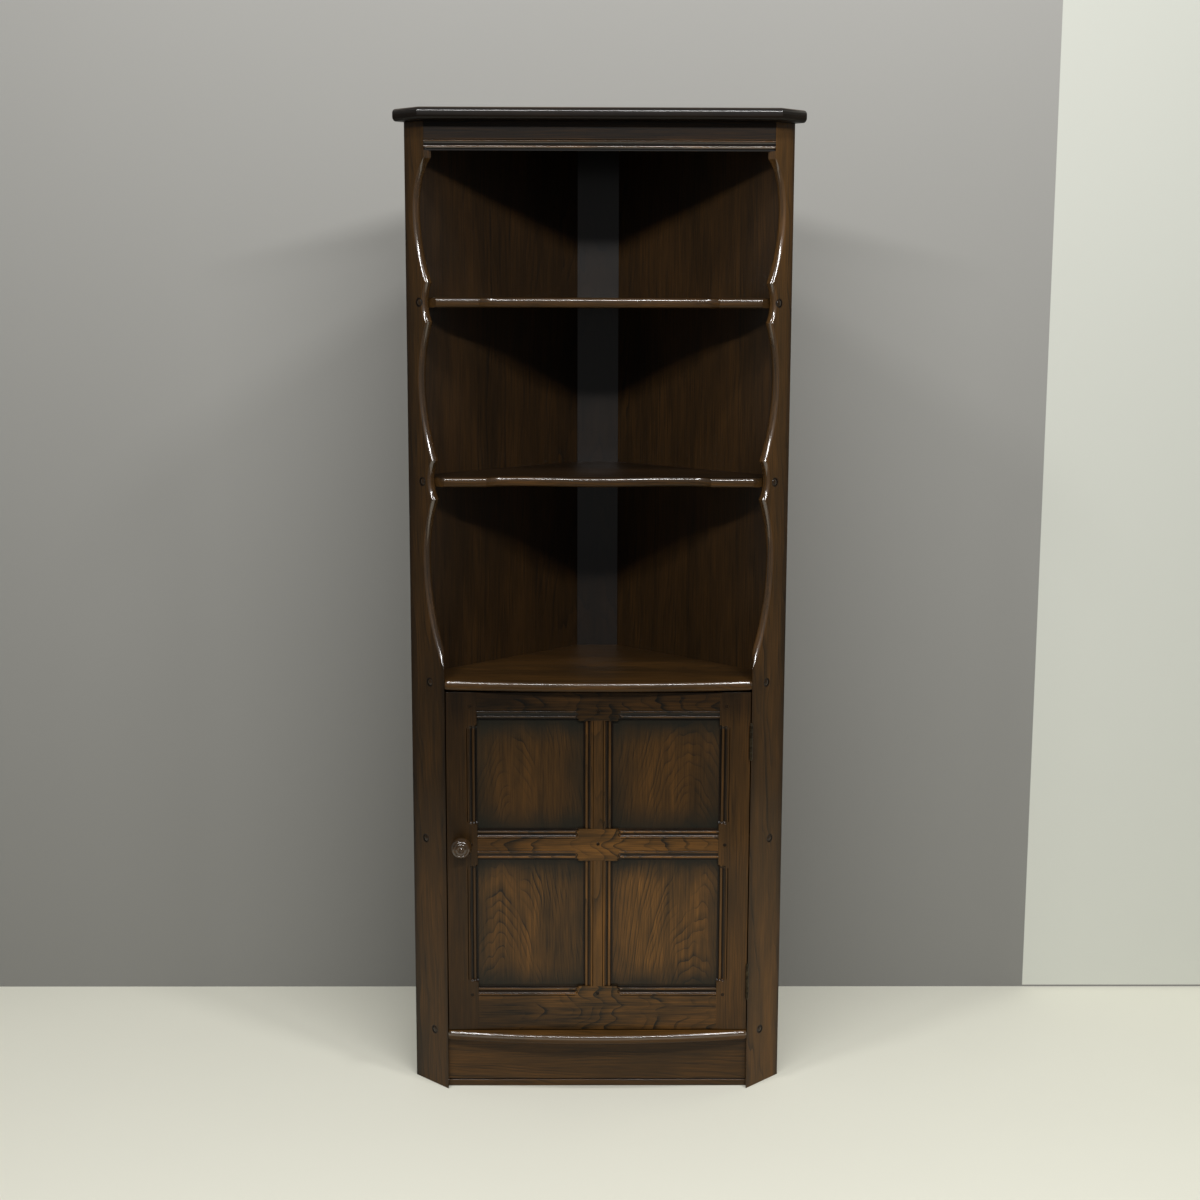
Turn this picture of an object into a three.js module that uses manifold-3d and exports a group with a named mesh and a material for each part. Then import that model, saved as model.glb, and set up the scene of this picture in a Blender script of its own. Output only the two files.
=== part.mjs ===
// A tall corner cupboard in dark stained hardwood. Two scalloped side boards stand square to each
// other, canted to the front, shaped shelves span between them under a moulded frieze, and an
// inset door with four flat panels closes the lower part. Millimetres, +Z up, the front facing -Y.
// In plan the door's front face lies on y = 0, and the corner that it fits is behind, on x = 0.

import * as THREE from 'three';
import { mergeVertices } from 'three/addons/utils/BufferGeometryUtils.js';
import Module from 'manifold-3d';

const wasm = await Module();
wasm.setup();

// Sizes of the case
const caseHeight = 1830;
const doorwayWidth = 570;
const sideBoardWidth = 95;
const sideBoardThickness = 18;
const topThickness = 22;
const topSideOverhang = 26;
const topFrontOverhang = 29;
const topRearCutWidth = 76;
const shelfThickness = 18;
const topBayHeight = 310;
const middleShelfRise = 24.5;
const waistShelfTop = 799;
const innerShelfTop = 494.5;
const baseBoardTop = 118;

// Sizes of the back
const backPanelThickness = 7;
const backPanelInset = 6;
const backRebateDepth = 8;
const cornerBoardWidth = 83;
const cornerBoardThickness = 15;

// Clearances, and the distance by which a cutter runs past the face it opens
const fitGap = 0.3;
const overrun = 4;
const maskOverrun = 2 * overrun;

// Widths that the scalloped edge leaves on the side board, from the wall to the edge
const neckWidth = 54;
const upperWaistWidth = 25;
const upperHornWidth = 57;
const upperNotchWidth = 46;
const middleWaistWidth = 35;
const middleHornWidth = 69;
const middleNotchWidth = 57;
const lowerWaistWidth = 43.5;

// Heights along the scalloped edge
const neckDrop = 12;
const notchReach = 35.5;
const middleNotchRise = 4;
const shoulderRise = 22;
const narrowestShares = { upper: 0.41, middle: 0.42, lower: 0.355 };

// Fronts of the shelves, measured in plan from the door's front face
const upperShelfFront = 36;
const middleShelfFront = 24;
const innerShelfAdvance = 35;
const shelfEndRun = 77;
const shelfRecess = 20;
const shelfCentreSetback = 3;
const recessControlShares = { cusp: 0.8, middle: 0.4, depth: 2.1 };
const waistBow = 17;
const waistEndProjection = 4;
const baseBow = 23;
const baseEndProjection = 6;
const nosedCornerWidth = 8;
const nosedCornerSetback = 2;
const shelfNoseRadius = 6;
const topNoseRadius = 8;

// The frieze and the plinth
const friezeHeight = 51;
const friezeThickness = 18;
const friezeSetback = 1;
const plinthSetback = 13;
const plinthThickness = 18;
const plinthBeadHeight = 16;
const plinthBeadQuirk = 2;

// The moulding worked on the frieze and round the door panels, across it from the flat face
const quirkWidth = 1;
const quirkDepth = 1.6;
const reedWidth = 4;
const reedTopDepth = 0.2;
const coveWidth = 4.5;
const coveStartDepth = 2.4;
const coveEndDepth = 4;
const coveSinkShare = 0.7;
const beadWidth = 7;
const beadStartDepth = 4.8;
const beadTopDepth = 2.2;
const beadEndDepth = 6;
const filletWidth = 3;
const filletDepth = 6.6;
const stopLength = 8;
const stopRadius = 9;

// The door
const doorThickness = 20;
const doorSideGap = 2;
const doorTopGap = 4;
const doorBottomGap = 2;
const stileWidth = 57;
const topRailWidth = 54;
const middleRailWidth = 61.5;
const bottomRailWidth = 86;
const muntinWidth = 56;
const lowerPanelSight = 247.5;
const panelThickness = 6;
const panelSetback = 8;
const panelTongue = 8;
const tenonLength = 25;
const tenonShoulder = 12;
const muntinTenonLength = 25;
const longMuntinTenonLength = 36;

// Pegs and plugs
const jointPegRadius = 3;
const jointPegGap = 0.15;
const railPegInset = 12;
const topRailPegDrop = 27;
const bottomRailPegDrop = 17;
const muntinPegInset = 17;
const middleMuntinPegInset = 29;
const plugRadius = 6;
const plugDepth = 8;
const plugDome = 2;
const plugSinkRadius = 8;
const plugSinkDepth = 1.6;
const upperPlugWidth = 36;
const middlePlugWidth = 39.5;
const waistPlugWidth = 53.5;
const innerPlugWidth = 36.5;
const basePlugWidth = 56;

// Glue blocks
const blockLength = 48;
const blockDepth = 16;
const plinthBlockHeight = 60;

// The butt hinges
const hingeLength = 65;
const upperHingeDrop = 61;
const lowerHingeRise = 64;
const hingePinOffset = 3.4;
const knuckleRadius = 3;
const knuckleCount = 5;
const knuckleGap = 0.3;
const hingePinRadius = 1.3;
const hingeBoreRadius = 1.6;
const hingeTipRadius = 2.4;
const hingeTipLength = 2.6;
const hingeTipShares = { shoulder: 0.4, crown: 0.8, crownRadius: 0.7 };
const leafThickness = 1.5;
const leafReach = 19;
const leafNotchGap = 0.6;

// The knob, turned on its axis, and the screw that holds it
const knobInset = 28;
const knobHeightShare = 0.5;
const knobRadius = 19.3;
const knobProjection = 36;
const knobFootRadius = 11;
const knobFootLength = 3;
const knobNeckRadius = 8;
const knobNeckLength = 8;
const knobRimLength = 8;
const knobRingRadius = 12.5;
const knobRingDepth = 1.2;
const knobButtonRadius = 4;
const knobButtonHeight = 1.6;
const knobButtonEdgeShare = 0.8;
const knobScrewRadius = 2.2;
const knobScrewBite = 16;
const knobScrewHeadRadius = 5;
const knobScrewHeadHeight = 2.6;
const screwHeadShares = { faceRadius: 0.7, rim: 0.4 };

// The magnetic catch under the waist shelf and its plate on the door
const catchWidth = 40;
const catchDepth = 14;
const catchHeight = 12;
const catchCornerRadius = 3;
const catchInset = 34;
const strikeWidth = 34;
const strikeHeight = 12;
const strikeThickness = 1.2;

// How finely the curves are divided, and how a triangle's corners are stored
const scallopSteps = 8;
const notchSteps = 10;
const bowSteps = 24;
const recessSteps = 14;
const noseSteps = 3;
const beadSteps = 5;
const reedSteps = 3;
const stopSteps = 5;
const plugSides = 14;
const pegSides = 12;
const knuckleSides = 16;
const knobSides = 28;
const knobCurveSteps = 5;
const axisCount = 3;
const cornerCount = 3;
const triangleStrideCount = axisCount * cornerCount;

// Finishes: colour, roughness and metalness
const finishes = {
  carcase: { color: 0x3d2a1e, roughness: 0.38, metalness: 0 },
  back: { color: 0x35271f, roughness: 0.5, metalness: 0 },
  door: { color: 0x46301f, roughness: 0.36, metalness: 0 },
  panel: { color: 0x4d3521, roughness: 0.36, metalness: 0 },
  plug: { color: 0x1f1612, roughness: 0.4, metalness: 0 },
  block: { color: 0x6b5238, roughness: 0.75, metalness: 0 },
  brass: { color: 0x6a5530, roughness: 0.42, metalness: 1 },
  steel: { color: 0x8c8c8a, roughness: 0.4, metalness: 1 },
  plastic: { color: 0x2b211b, roughness: 0.5, metalness: 0 },
};

// Plan of the case. A side board's faces lie on lines of constant |x| - y, and a wall, with the
// back panel that follows it, on lines of constant |x| + y.
const diagonal = Math.SQRT2;
const quarterTurn = Math.PI / 2;
const cant = Math.PI / 4;
const halfDoorway = doorwayWidth / 2;
const wallEndX = halfDoorway + sideBoardWidth / diagonal;
const wallEndY = sideBoardWidth / diagonal;
const wallLine = wallEndX + wallEndY;
const boardBackLine = halfDoorway - sideBoardThickness * diagonal;
const panelFrontLine = wallLine - (backPanelInset + backPanelThickness) * diagonal;
const cornerBoardFront = panelFrontLine - cornerBoardWidth / 2;
const cornerBoardBack = cornerBoardFront + cornerBoardThickness;
const cornerBoardRearHalf = panelFrontLine - cornerBoardBack;
const topReturnLine = halfDoorway + topSideOverhang * diagonal;
const topRearY = wallLine - topRearCutWidth / 2;
const friezeFront = wallEndY - neckWidth / diagonal + friezeSetback;
const friezeBack = friezeFront + friezeThickness;
const friezeSeatX = wallEndX - neckWidth / diagonal;
const topFrontY = friezeFront - topFrontOverhang;
const plinthBack = plinthSetback + plinthThickness;
const innerShelfFront = sideBoardWidth - innerShelfAdvance;

// Heights that follow from the driving sizes
const boardTop = caseHeight - topThickness;
const friezeBottom = boardTop - friezeHeight;

// The upper shelf hangs a bay's height below the top board. The middle shelf stands a little above
// the middle of what is left down to the waist shelf.
const upperShelfTop = boardTop - topBayHeight;
const middleShelfTop = (upperShelfTop + waistShelfTop) / 2 + middleShelfRise;
const waistShelfBottom = waistShelfTop - shelfThickness;
const baseBoardBottom = baseBoardTop - shelfThickness;
const upperShelfMiddle = upperShelfTop - shelfThickness / 2;
const middleShelfMiddle = middleShelfTop - shelfThickness / 2;
const middleNotchMiddle = middleShelfMiddle + middleNotchRise;

// Places within the door, whose own frame starts at its lower edge
const doorBottom = baseBoardTop + doorBottomGap;
const doorHeight = waistShelfBottom - doorTopGap - doorBottom;
const doorHalfWidth = halfDoorway - doorSideGap;
const sightHalfWidth = doorHalfWidth - stileWidth;
const muntinHalfWidth = muntinWidth / 2;
const middleRailBottom = bottomRailWidth + lowerPanelSight;
const middleRailTop = middleRailBottom + middleRailWidth;
const topRailBottom = doorHeight - topRailWidth;
const panelBack = panelSetback + panelThickness;
const mouldingWidth = quirkWidth + reedWidth + coveWidth + beadWidth + filletWidth;

// The knob stands where the rail's middle line crosses the stile's
const knobX = -doorHalfWidth + knobInset;
const knobZ = middleRailBottom + middleRailWidth * knobHeightShare;

// The hinge axis stands in the middle of the gap at the door's right-hand edge
const hingeAxisX = halfDoorway - doorSideGap / 2;
const hingeAxisY = -hingePinOffset;
const upperHingeMiddle = doorBottom + doorHeight - upperHingeDrop - hingeLength / 2;
const lowerHingeMiddle = doorBottom + lowerHingeRise + hingeLength / 2;

// Turns a closed three.js geometry into a solid that can be cut and joined.
function solidOf(geometry) {
  const bare = geometry.index ? geometry.toNonIndexed() : geometry.clone();
  bare.deleteAttribute('normal');
  bare.deleteAttribute('uv');
  const merged = mergeVertices(bare);
  const vertProperties = new Float32Array(merged.attributes.position.array);
  const triVerts = new Uint32Array(merged.index.array);
  return new wasm.Manifold(new wasm.Mesh({ numProp: 3, vertProperties, triVerts }));
}

// Gives a solid's triangles back as a three.js geometry.
function geometryOf(solid) {
  const { vertProperties, triVerts } = solid.getMesh();
  const geometry = new THREE.BufferGeometry();
  geometry.setAttribute('position', new THREE.BufferAttribute(vertProperties, 3));
  geometry.setIndex(new THREE.BufferAttribute(triVerts, 1));
  geometry.computeVertexNormals();
  return geometry;
}

// Cuts each of the given geometries out of a body.
function cut(body, cutters) {
  const solid = cutters.reduce((left, cutter) => left.subtract(solidOf(cutter)), solidOf(body));
  return geometryOf(solid);
}

// Joins further geometries to a body.
function join(body, others) {
  const solid = others.reduce((whole, other) => whole.add(solidOf(other)), solidOf(body));
  return geometryOf(solid);
}

// Keeps what a body shares with another geometry.
function keepInside(body, other) {
  return geometryOf(solidOf(body).intersect(solidOf(other)));
}

// A block between two limits on each axis.
function block([x0, x1], [y0, y1], [z0, z1]) {
  const geometry = new THREE.BoxGeometry(x1 - x0, y1 - y0, z1 - z0);
  return geometry.translate((x0 + x1) / 2, (y0 + y1) / 2, (z0 + z1) / 2);
}

// An upright prism over a plan outline.
function prism(points, z0, z1) {
  const shape = new THREE.Shape(points.map(([x, y]) => new THREE.Vector2(x, y)));
  const geometry = new THREE.ExtrudeGeometry(shape, { depth: z1 - z0, bevelEnabled: false });
  return geometry.translate(0, 0, z0);
}

// A section drawn in depth (y) and height (z), run from x0 to x1.
function runAcross(section, x0, x1) {
  const shape = new THREE.Shape(section.map(([y, z]) => new THREE.Vector2(y, z)));
  const geometry = new THREE.ExtrudeGeometry(shape, { depth: x1 - x0, bevelEnabled: false });
  geometry.rotateX(quarterTurn);
  geometry.rotateZ(quarterTurn);
  return geometry.translate(x0, 0, 0);
}

// An outline drawn in width (x) and height (z), run from depth y0 back to y1.
function runBack(outline, y0, y1) {
  const shape = new THREE.Shape(outline.map(([x, z]) => new THREE.Vector2(x, z)));
  const geometry = new THREE.ExtrudeGeometry(shape, { depth: y1 - y0, bevelEnabled: false });
  geometry.rotateX(quarterTurn);
  return geometry.translate(0, y1, 0);
}

// The mirror image across x = 0, with its faces turned to point outwards again.
function mirrored(geometry) {
  const image = geometry.index ? geometry.toNonIndexed() : geometry.clone();
  image.scale(-1, 1, 1);
  const { array } = image.attributes.position;
  for (let start = 0; start < array.length; start += triangleStrideCount) {
    const secondStart = start + axisCount;
    const thirdStart = secondStart + axisCount;
    const second = array.slice(secondStart, thirdStart);
    array.copyWithin(secondStart, thirdStart, start + triangleStrideCount);
    array.set(second, thirdStart);
  }
  image.deleteAttribute('normal');
  image.deleteAttribute('uv');
  return mergeVertices(image);
}

// A round bar along the y axis, its first end at depth y0.
function barBack(radius, y0, y1, sides) {
  const geometry = new THREE.CylinderGeometry(radius, radius, y1 - y0, sides);
  return geometry.translate(0, (y0 + y1) / 2, 0);
}

// Points of an arc of a scallop: it leaves the narrowest place upright and ends at the horn.
function scallopArc(narrowWidth, narrowHeight, endWidth, endHeight) {
  const rise = endHeight - narrowHeight;
  const run = endWidth - narrowWidth;
  const radius = (rise * rise + run * run) / (2 * run);
  const sweep = Math.asin(rise / radius);
  return Array.from({ length: scallopSteps + 1 }, (_, step) => {
    const angle = (sweep * step) / scallopSteps;
    return [narrowWidth + radius * (1 - Math.cos(angle)), narrowHeight + radius * Math.sin(angle)];
  });
}

// A whole scallop, from its upper end down to its lower one.
function scallop(upper, narrowWidth, lower, narrowestShare) {
  const narrowHeight = upper[1] + (lower[1] - upper[1]) * narrowestShare;
  const above = scallopArc(narrowWidth, narrowHeight, upper[0], upper[1]).reverse();
  const below = scallopArc(narrowWidth, narrowHeight, lower[0], lower[1]).slice(1);
  return [...above, ...below];
}

// The round notch at a shelf's end, from its upper horn to its lower one.
function notch(hornWidth, notchWidth, middleHeight) {
  const sagitta = hornWidth - notchWidth;
  const radius = (notchReach * notchReach + sagitta * sagitta) / (2 * sagitta);
  const sweep = Math.asin(notchReach / radius);
  return Array.from({ length: notchSteps - 1 }, (_, step) => {
    const angle = sweep - (2 * sweep * (step + 1)) / notchSteps;
    return [notchWidth + radius * (1 - Math.cos(angle)), middleHeight + radius * Math.sin(angle)];
  });
}

// A side board's outline, in width from the wall and height.
function sideBoardOutline() {
  const neckEnd = [neckWidth, friezeBottom - neckDrop];
  const upperHornTop = [upperHornWidth, upperShelfMiddle + notchReach];
  const upperHornFoot = [upperHornWidth, upperShelfMiddle - notchReach];
  const middleHornTop = [middleHornWidth, middleNotchMiddle + notchReach];
  const middleHornFoot = [middleHornWidth, middleNotchMiddle - notchReach];
  const shoulder = [sideBoardWidth, waistShelfTop + shoulderRise];
  return [
    [0, 0],
    [0, boardTop],
    [neckWidth, boardTop],
    ...scallop(neckEnd, upperWaistWidth, upperHornTop, narrowestShares.upper),
    ...notch(upperHornWidth, upperNotchWidth, upperShelfMiddle),
    ...scallop(upperHornFoot, middleWaistWidth, middleHornTop, narrowestShares.middle),
    ...notch(middleHornWidth, middleNotchWidth, middleNotchMiddle),
    ...scallop(middleHornFoot, lowerWaistWidth, shoulder, narrowestShares.lower),
    [sideBoardWidth, 0],
  ];
}

// Height of the plug and its distance from the wall, for each shelf that a side board carries.
const plugPlaces = [
  ['upper_shelf', upperPlugWidth, upperShelfMiddle],
  ['middle_shelf', middlePlugWidth, middleShelfMiddle],
  ['waist_shelf', waistPlugWidth, waistShelfTop - shelfThickness / 2],
  ['inner_shelf', innerPlugWidth, innerShelfTop - shelfThickness / 2],
  ['base_board', basePlugWidth, baseBoardTop - shelfThickness / 2],
];

// The hole for a plug, with its shallow sink.
function plugHole(width, height) {
  const bore = barBack(plugRadius + fitGap, 0, plugDepth + fitGap, plugSides);
  const mouthSpread = (plugSinkRadius - plugRadius - fitGap) / plugSinkDepth;
  const mouthRadius = plugSinkRadius + overrun * mouthSpread;
  const sinkLength = plugSinkDepth + overrun;
  const sink = new THREE.CylinderGeometry(plugRadius + fitGap, mouthRadius, sinkLength, plugSides);
  sink.translate(0, (plugSinkDepth - overrun) / 2, 0);
  return join(bore, [sink]).translate(width, 0, height);
}

// A plug with its domed face, its axis along y.
function plugGeometry() {
  const profile = [new THREE.Vector2(0, plugDepth), new THREE.Vector2(plugRadius, plugDepth)];
  for (let step = 0; step <= noseSteps; step += 1) {
    const angle = (quarterTurn * step) / noseSteps;
    const radius = step === noseSteps ? 0 : plugRadius * Math.cos(angle);
    profile.push(new THREE.Vector2(radius, plugSinkDepth - plugDome * Math.sin(angle)));
  }
  return new THREE.LatheGeometry(profile.reverse(), plugSides);
}

// What turns a side board's square edge, at the given width, to face straight across the case.
function edgeBevel(width, z0) {
  const rear = sideBoardThickness + overrun;
  const plan = [
    [width + overrun, -overrun],
    [width + rear, rear],
    [width - rear, rear],
  ];
  return prism(plan, z0, boardTop + overrun);
}

// A side board in its own frame: x from the wall along its face, y through it, z up.
function sideBoardGeometry() {
  const body = runBack(sideBoardOutline(), 0, sideBoardThickness);
  const rebateWidth = backPanelInset + backPanelThickness + fitGap;
  const rebateFront = sideBoardThickness - backRebateDepth;
  const rebate = block(
    [-overrun, rebateWidth],
    [rebateFront, sideBoardThickness + overrun],
    [-overrun, boardTop + overrun],
  );
  const doorwayBevel = edgeBevel(sideBoardWidth, -overrun);
  const friezeSeat = edgeBevel(neckWidth, friezeBottom);
  const plugHoles = plugPlaces.map(([, width, height]) => plugHole(width, height));
  return cut(body, [rebate, doorwayBevel, friezeSeat, ...plugHoles]);
}

// A back panel in the side board's frame: it stands in the rebate and runs to the corner board.
function backPanelGeometry() {
  const panelStart = sideBoardThickness - backRebateDepth + fitGap;
  const alongX = wallEndX - cornerBoardRearHalf;
  const alongY = cornerBoardBack - wallEndY;
  const panelEnd = (alongX + alongY) / diagonal;
  return block(
    [backPanelInset, backPanelInset + backPanelThickness],
    [panelStart, panelEnd],
    [0, boardTop],
  );
}

// The corner board, bevelled at 45 degrees on both edges where the back panels lie.
function cornerBoardGeometry() {
  const front = cornerBoardWidth / 2 - fitGap * diagonal;
  const rear = cornerBoardRearHalf - fitGap * diagonal;
  const plan = [
    [-front, cornerBoardFront],
    [front, cornerBoardFront],
    [rear, cornerBoardBack],
    [-rear, cornerBoardBack],
  ];
  return prism(plan, 0, boardTop);
}

// Depth of the rounded front edge at each height, from the underside to the top.
function noseLevels(bottom, top, radius) {
  const lower = Array.from({ length: noseSteps + 1 }, (_, step) => {
    const angle = (quarterTurn * step) / noseSteps;
    return { z: bottom + radius * (1 - Math.cos(angle)), inset: radius * (1 - Math.sin(angle)) };
  });
  const upper = lower.map(({ z, inset }) => ({ z: top - (z - bottom), inset })).reverse();
  return [...lower, ...upper];
}

// Moves a front line back into the board by the given inset, mitred at its corners.
function insetFront(front, inset, endSlide) {
  return front.map((point, index) => {
    if (index === 0) {
      return [point[0] - endSlide[0] * inset, point[1] + endSlide[1] * inset];
    }
    if (index === front.length - 1) {
      return [point[0] + endSlide[0] * inset, point[1] + endSlide[1] * inset];
    }
    const before = new THREE.Vector2(...point).sub(new THREE.Vector2(...front[index - 1]));
    const after = new THREE.Vector2(...front[index + 1]).sub(new THREE.Vector2(...point));
    const normalBefore = new THREE.Vector2(-before.y, before.x).normalize();
    const normalAfter = new THREE.Vector2(-after.y, after.x).normalize();
    const mitre = normalBefore.clone().add(normalAfter);
    mitre.divideScalar(1 + normalBefore.dot(normalAfter));
    return [point[0] + mitre.x * inset, point[1] + mitre.y * inset];
  });
}

// A flat board with a worked front edge. The front line runs from left to right, the rear line
// back again, and each level gives a height and how far the front line is set back there.
function nosedBoard(front, rear, levels, endSlide) {
  const rings = levels.map(({ z, inset }) => {
    const ring = [...insetFront(front, inset, endSlide), ...rear];
    return ring.map(([x, y]) => new THREE.Vector3(x, y, z));
  });
  const count = rings[0].length;
  const positions = rings.flat().flatMap((point) => [point.x, point.y, point.z]);
  const flatRing = (ring) => ring.map((point) => new THREE.Vector2(point.x, point.y));
  const lowerCap = THREE.ShapeUtils.triangulateShape(flatRing(rings[0]), []);
  const upperCap = THREE.ShapeUtils.triangulateShape(flatRing(rings.at(-1)), []);
  const lastRing = (rings.length - 1) * count;
  const indices = lowerCap.flatMap(([a, b, c]) => [c, b, a]);
  upperCap.forEach(([a, b, c]) => indices.push(lastRing + a, lastRing + b, lastRing + c));
  for (let level = 0; level < rings.length - 1; level += 1) {
    for (let index = 0; index < count; index += 1) {
      const next = (index + 1) % count;
      const here = level * count;
      const above = here + count;
      indices.push(here + index, here + next, above + next);
      indices.push(here + index, above + next, above + index);
    }
  }
  const geometry = new THREE.BufferGeometry();
  geometry.setAttribute('position', new THREE.Float32BufferAttribute(positions, 3));
  geometry.setIndex(indices);
  return mergeVertices(geometry);
}

// The rear of a shelf in plan, from the right-hand end round the back to the left-hand one.
function shelfRear() {
  const sideLine = boardBackLine - fitGap * diagonal;
  const backLine = panelFrontLine - fitGap * diagonal;
  const rearY = cornerBoardFront - fitGap;
  const sideX = (sideLine + backLine) / 2;
  const sideY = backLine - sideX;
  const rearX = backLine - rearY;
  return [
    [sideX, sideY],
    [rearX, rearY],
    [-rearX, rearY],
    [-sideX, sideY],
  ];
}

// Completes a front line from its left half, given from the left end towards the middle.
function symmetrical(leftHalf) {
  const rightHalf = leftHalf.map(([x, y]) => [-x, y]).reverse();
  const sharesMiddle = leftHalf.at(-1)[0] === 0;
  return [...leftHalf, ...rightHalf.slice(sharesMiddle ? 1 : 0)];
}

// Front line of an open shelf: straight ends, then a recess on either side of a bowed middle.
function serpentineFront(frontY) {
  const endX = boardBackLine - fitGap * diagonal + frontY;
  const cuspX = endX - shelfEndRun;
  const recess = new THREE.CubicBezierCurve(
    new THREE.Vector2(-cuspX, frontY),
    new THREE.Vector2(
      -cuspX * recessControlShares.cusp,
      frontY + shelfRecess * recessControlShares.depth,
    ),
    new THREE.Vector2(-cuspX * recessControlShares.middle, frontY + shelfCentreSetback),
    new THREE.Vector2(0, frontY + shelfCentreSetback),
  );
  const curve = recess.getPoints(recessSteps).map((point) => [point.x, point.y]);
  return symmetrical([[-endX, frontY], ...curve]);
}

// Front line of the waist shelf and the base board: one shallow bow with short bevelled corners.
function bowedFront(bow, endProjection) {
  const sideX = halfDoorway - fitGap;
  const endX = sideX - nosedCornerWidth;
  const radius = (endX * endX + bow * bow) / (2 * bow);
  const sweep = Math.asin(endX / radius);
  const middleY = -endProjection - bow;
  const arc = Array.from({ length: bowSteps / 2 + 1 }, (_, step) => {
    const angle = sweep * (1 - (2 * step) / bowSteps);
    return [-radius * Math.sin(angle), middleY + radius * (1 - Math.cos(angle))];
  });
  arc[arc.length - 1][0] = 0;
  return symmetrical([[-sideX, nosedCornerSetback], ...arc]);
}

// Rear of a board whose front part passes between the side boards' bevelled edges.
function steppedRear() {
  const sideX = halfDoorway - fitGap;
  const stepY = sideX - boardBackLine + fitGap * diagonal;
  return [[sideX, stepY], ...shelfRear(), [-sideX, stepY]];
}

// An open shelf with the serpentine front and a rounded edge.
function serpentineShelf(frontY, top) {
  const levels = noseLevels(top - shelfThickness, top, shelfNoseRadius);
  return nosedBoard(serpentineFront(frontY), shelfRear(), levels, [1, 1]);
}

// The waist shelf or the base board, with the bowed front and a rounded edge.
function bowedShelf(bow, endProjection, top) {
  const levels = noseLevels(top - shelfThickness, top, shelfNoseRadius);
  return nosedBoard(bowedFront(bow, endProjection), steppedRear(), levels, [0, 1]);
}

// The shelf behind the door, with a plain straight front.
function innerShelf() {
  const endX = boardBackLine - fitGap * diagonal + innerShelfFront;
  const plan = [[-endX, innerShelfFront], [endX, innerShelfFront], ...shelfRear()];
  return prism(plan, innerShelfTop - shelfThickness, innerShelfTop);
}

// The top board: its moulded edge runs along the front and back along both canted returns.
function topBoard() {
  const cornerX = topReturnLine + topFrontY;
  const endX = (topReturnLine + wallLine) / 2;
  const endY = wallLine - endX;
  const front = symmetrical([[-endX, endY], [-cornerX, topFrontY]]);
  const rearX = topRearCutWidth / 2;
  const rear = [[rearX, topRearY], [-rearX, topRearY]];
  const levels = noseLevels(boardTop, caseHeight, topNoseRadius);
  return nosedBoard(front, rear, levels, [-1 / diagonal, 1 / diagonal]);
}

// Points of a raised arc between two places of a moulding, given as [across, depth].
function raisedArc(start, end, topDepth, steps) {
  return Array.from({ length: steps - 1 }, (_, step) => {
    const share = (step + 1) / steps;
    const chordDepth = start[1] + (end[1] - start[1]) * share;
    const lift = Math.sin(Math.PI * share);
    const across = start[0] + (end[0] - start[0]) * (1 - Math.cos(Math.PI * share)) / 2;
    return [across, chordDepth - (chordDepth - topDepth) * lift];
  });
}

// The moulding's profile as [across, depth]: quirk, reed, cove, bead and fillet.
function mouldingProfile() {
  const reedStart = [quirkWidth, quirkDepth];
  const reedEnd = [quirkWidth + reedWidth, quirkDepth];
  const coveStart = [reedEnd[0], coveStartDepth];
  const coveEnd = [coveStart[0] + coveWidth, coveEndDepth];
  const coveMiddleDepth = coveStartDepth + (coveEndDepth - coveStartDepth) * coveSinkShare;
  const coveMiddle = [(coveStart[0] + coveEnd[0]) / 2, coveMiddleDepth];
  const beadStart = [coveEnd[0], beadStartDepth];
  const beadEnd = [beadStart[0] + beadWidth, beadEndDepth];
  return [
    [0, 0],
    reedStart,
    ...raisedArc(reedStart, reedEnd, reedTopDepth, reedSteps),
    reedEnd,
    coveStart,
    coveMiddle,
    coveEnd,
    beadStart,
    ...raisedArc(beadStart, beadEnd, beadTopDepth, beadSteps),
    beadEnd,
    [beadEnd[0], filletDepth],
    [mouldingWidth, filletDepth],
  ];
}

// What a moulding plane removes: from the profile out past the face and past the worked edge.
function mouldingWaste() {
  return [
    [0, -overrun],
    ...mouldingProfile(),
    [mouldingWidth + overrun, filletDepth],
    [mouldingWidth + overrun, -overrun],
  ];
}

// The frieze, moulded along its lower edge, its ends seated on the side boards' necks.
function friezeGeometry() {
  const endX = friezeSeatX - fitGap;
  const section = [
    [friezeFront, boardTop],
    ...mouldingProfile().map(([across, depth]) => [
      friezeFront + depth,
      friezeBottom + mouldingWidth - across,
    ]),
    [friezeBack, friezeBottom],
    [friezeBack, boardTop],
  ];
  return runAcross(section, -endX, endX);
}

// The plinth, with a quirked bead along its foot.
function plinthGeometry() {
  const endX = halfDoorway - fitGap;
  const beadTop = plinthBeadHeight - plinthBeadQuirk;
  const section = [
    [plinthSetback, baseBoardBottom],
    [plinthSetback, plinthBeadHeight],
    [plinthSetback + plinthBeadQuirk, plinthBeadHeight - plinthBeadQuirk / 2],
    [plinthSetback, beadTop],
    [plinthSetback, 0],
    [plinthBack, 0],
    [plinthBack, baseBoardBottom],
  ];
  return runAcross(section, -endX, endX);
}

// A glue block in the corner behind a front board, against the right-hand side board's back.
function glueBlock(frontY, z0, z1) {
  const sideLine = boardBackLine - fitGap * diagonal;
  const innerX = sideLine + frontY - blockLength;
  const plan = [
    [innerX, frontY],
    [sideLine + frontY, frontY],
    [sideLine + frontY + blockDepth, frontY + blockDepth],
    [innerX, frontY + blockDepth],
  ];
  return prism(plan, z0, z1);
}

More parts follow.
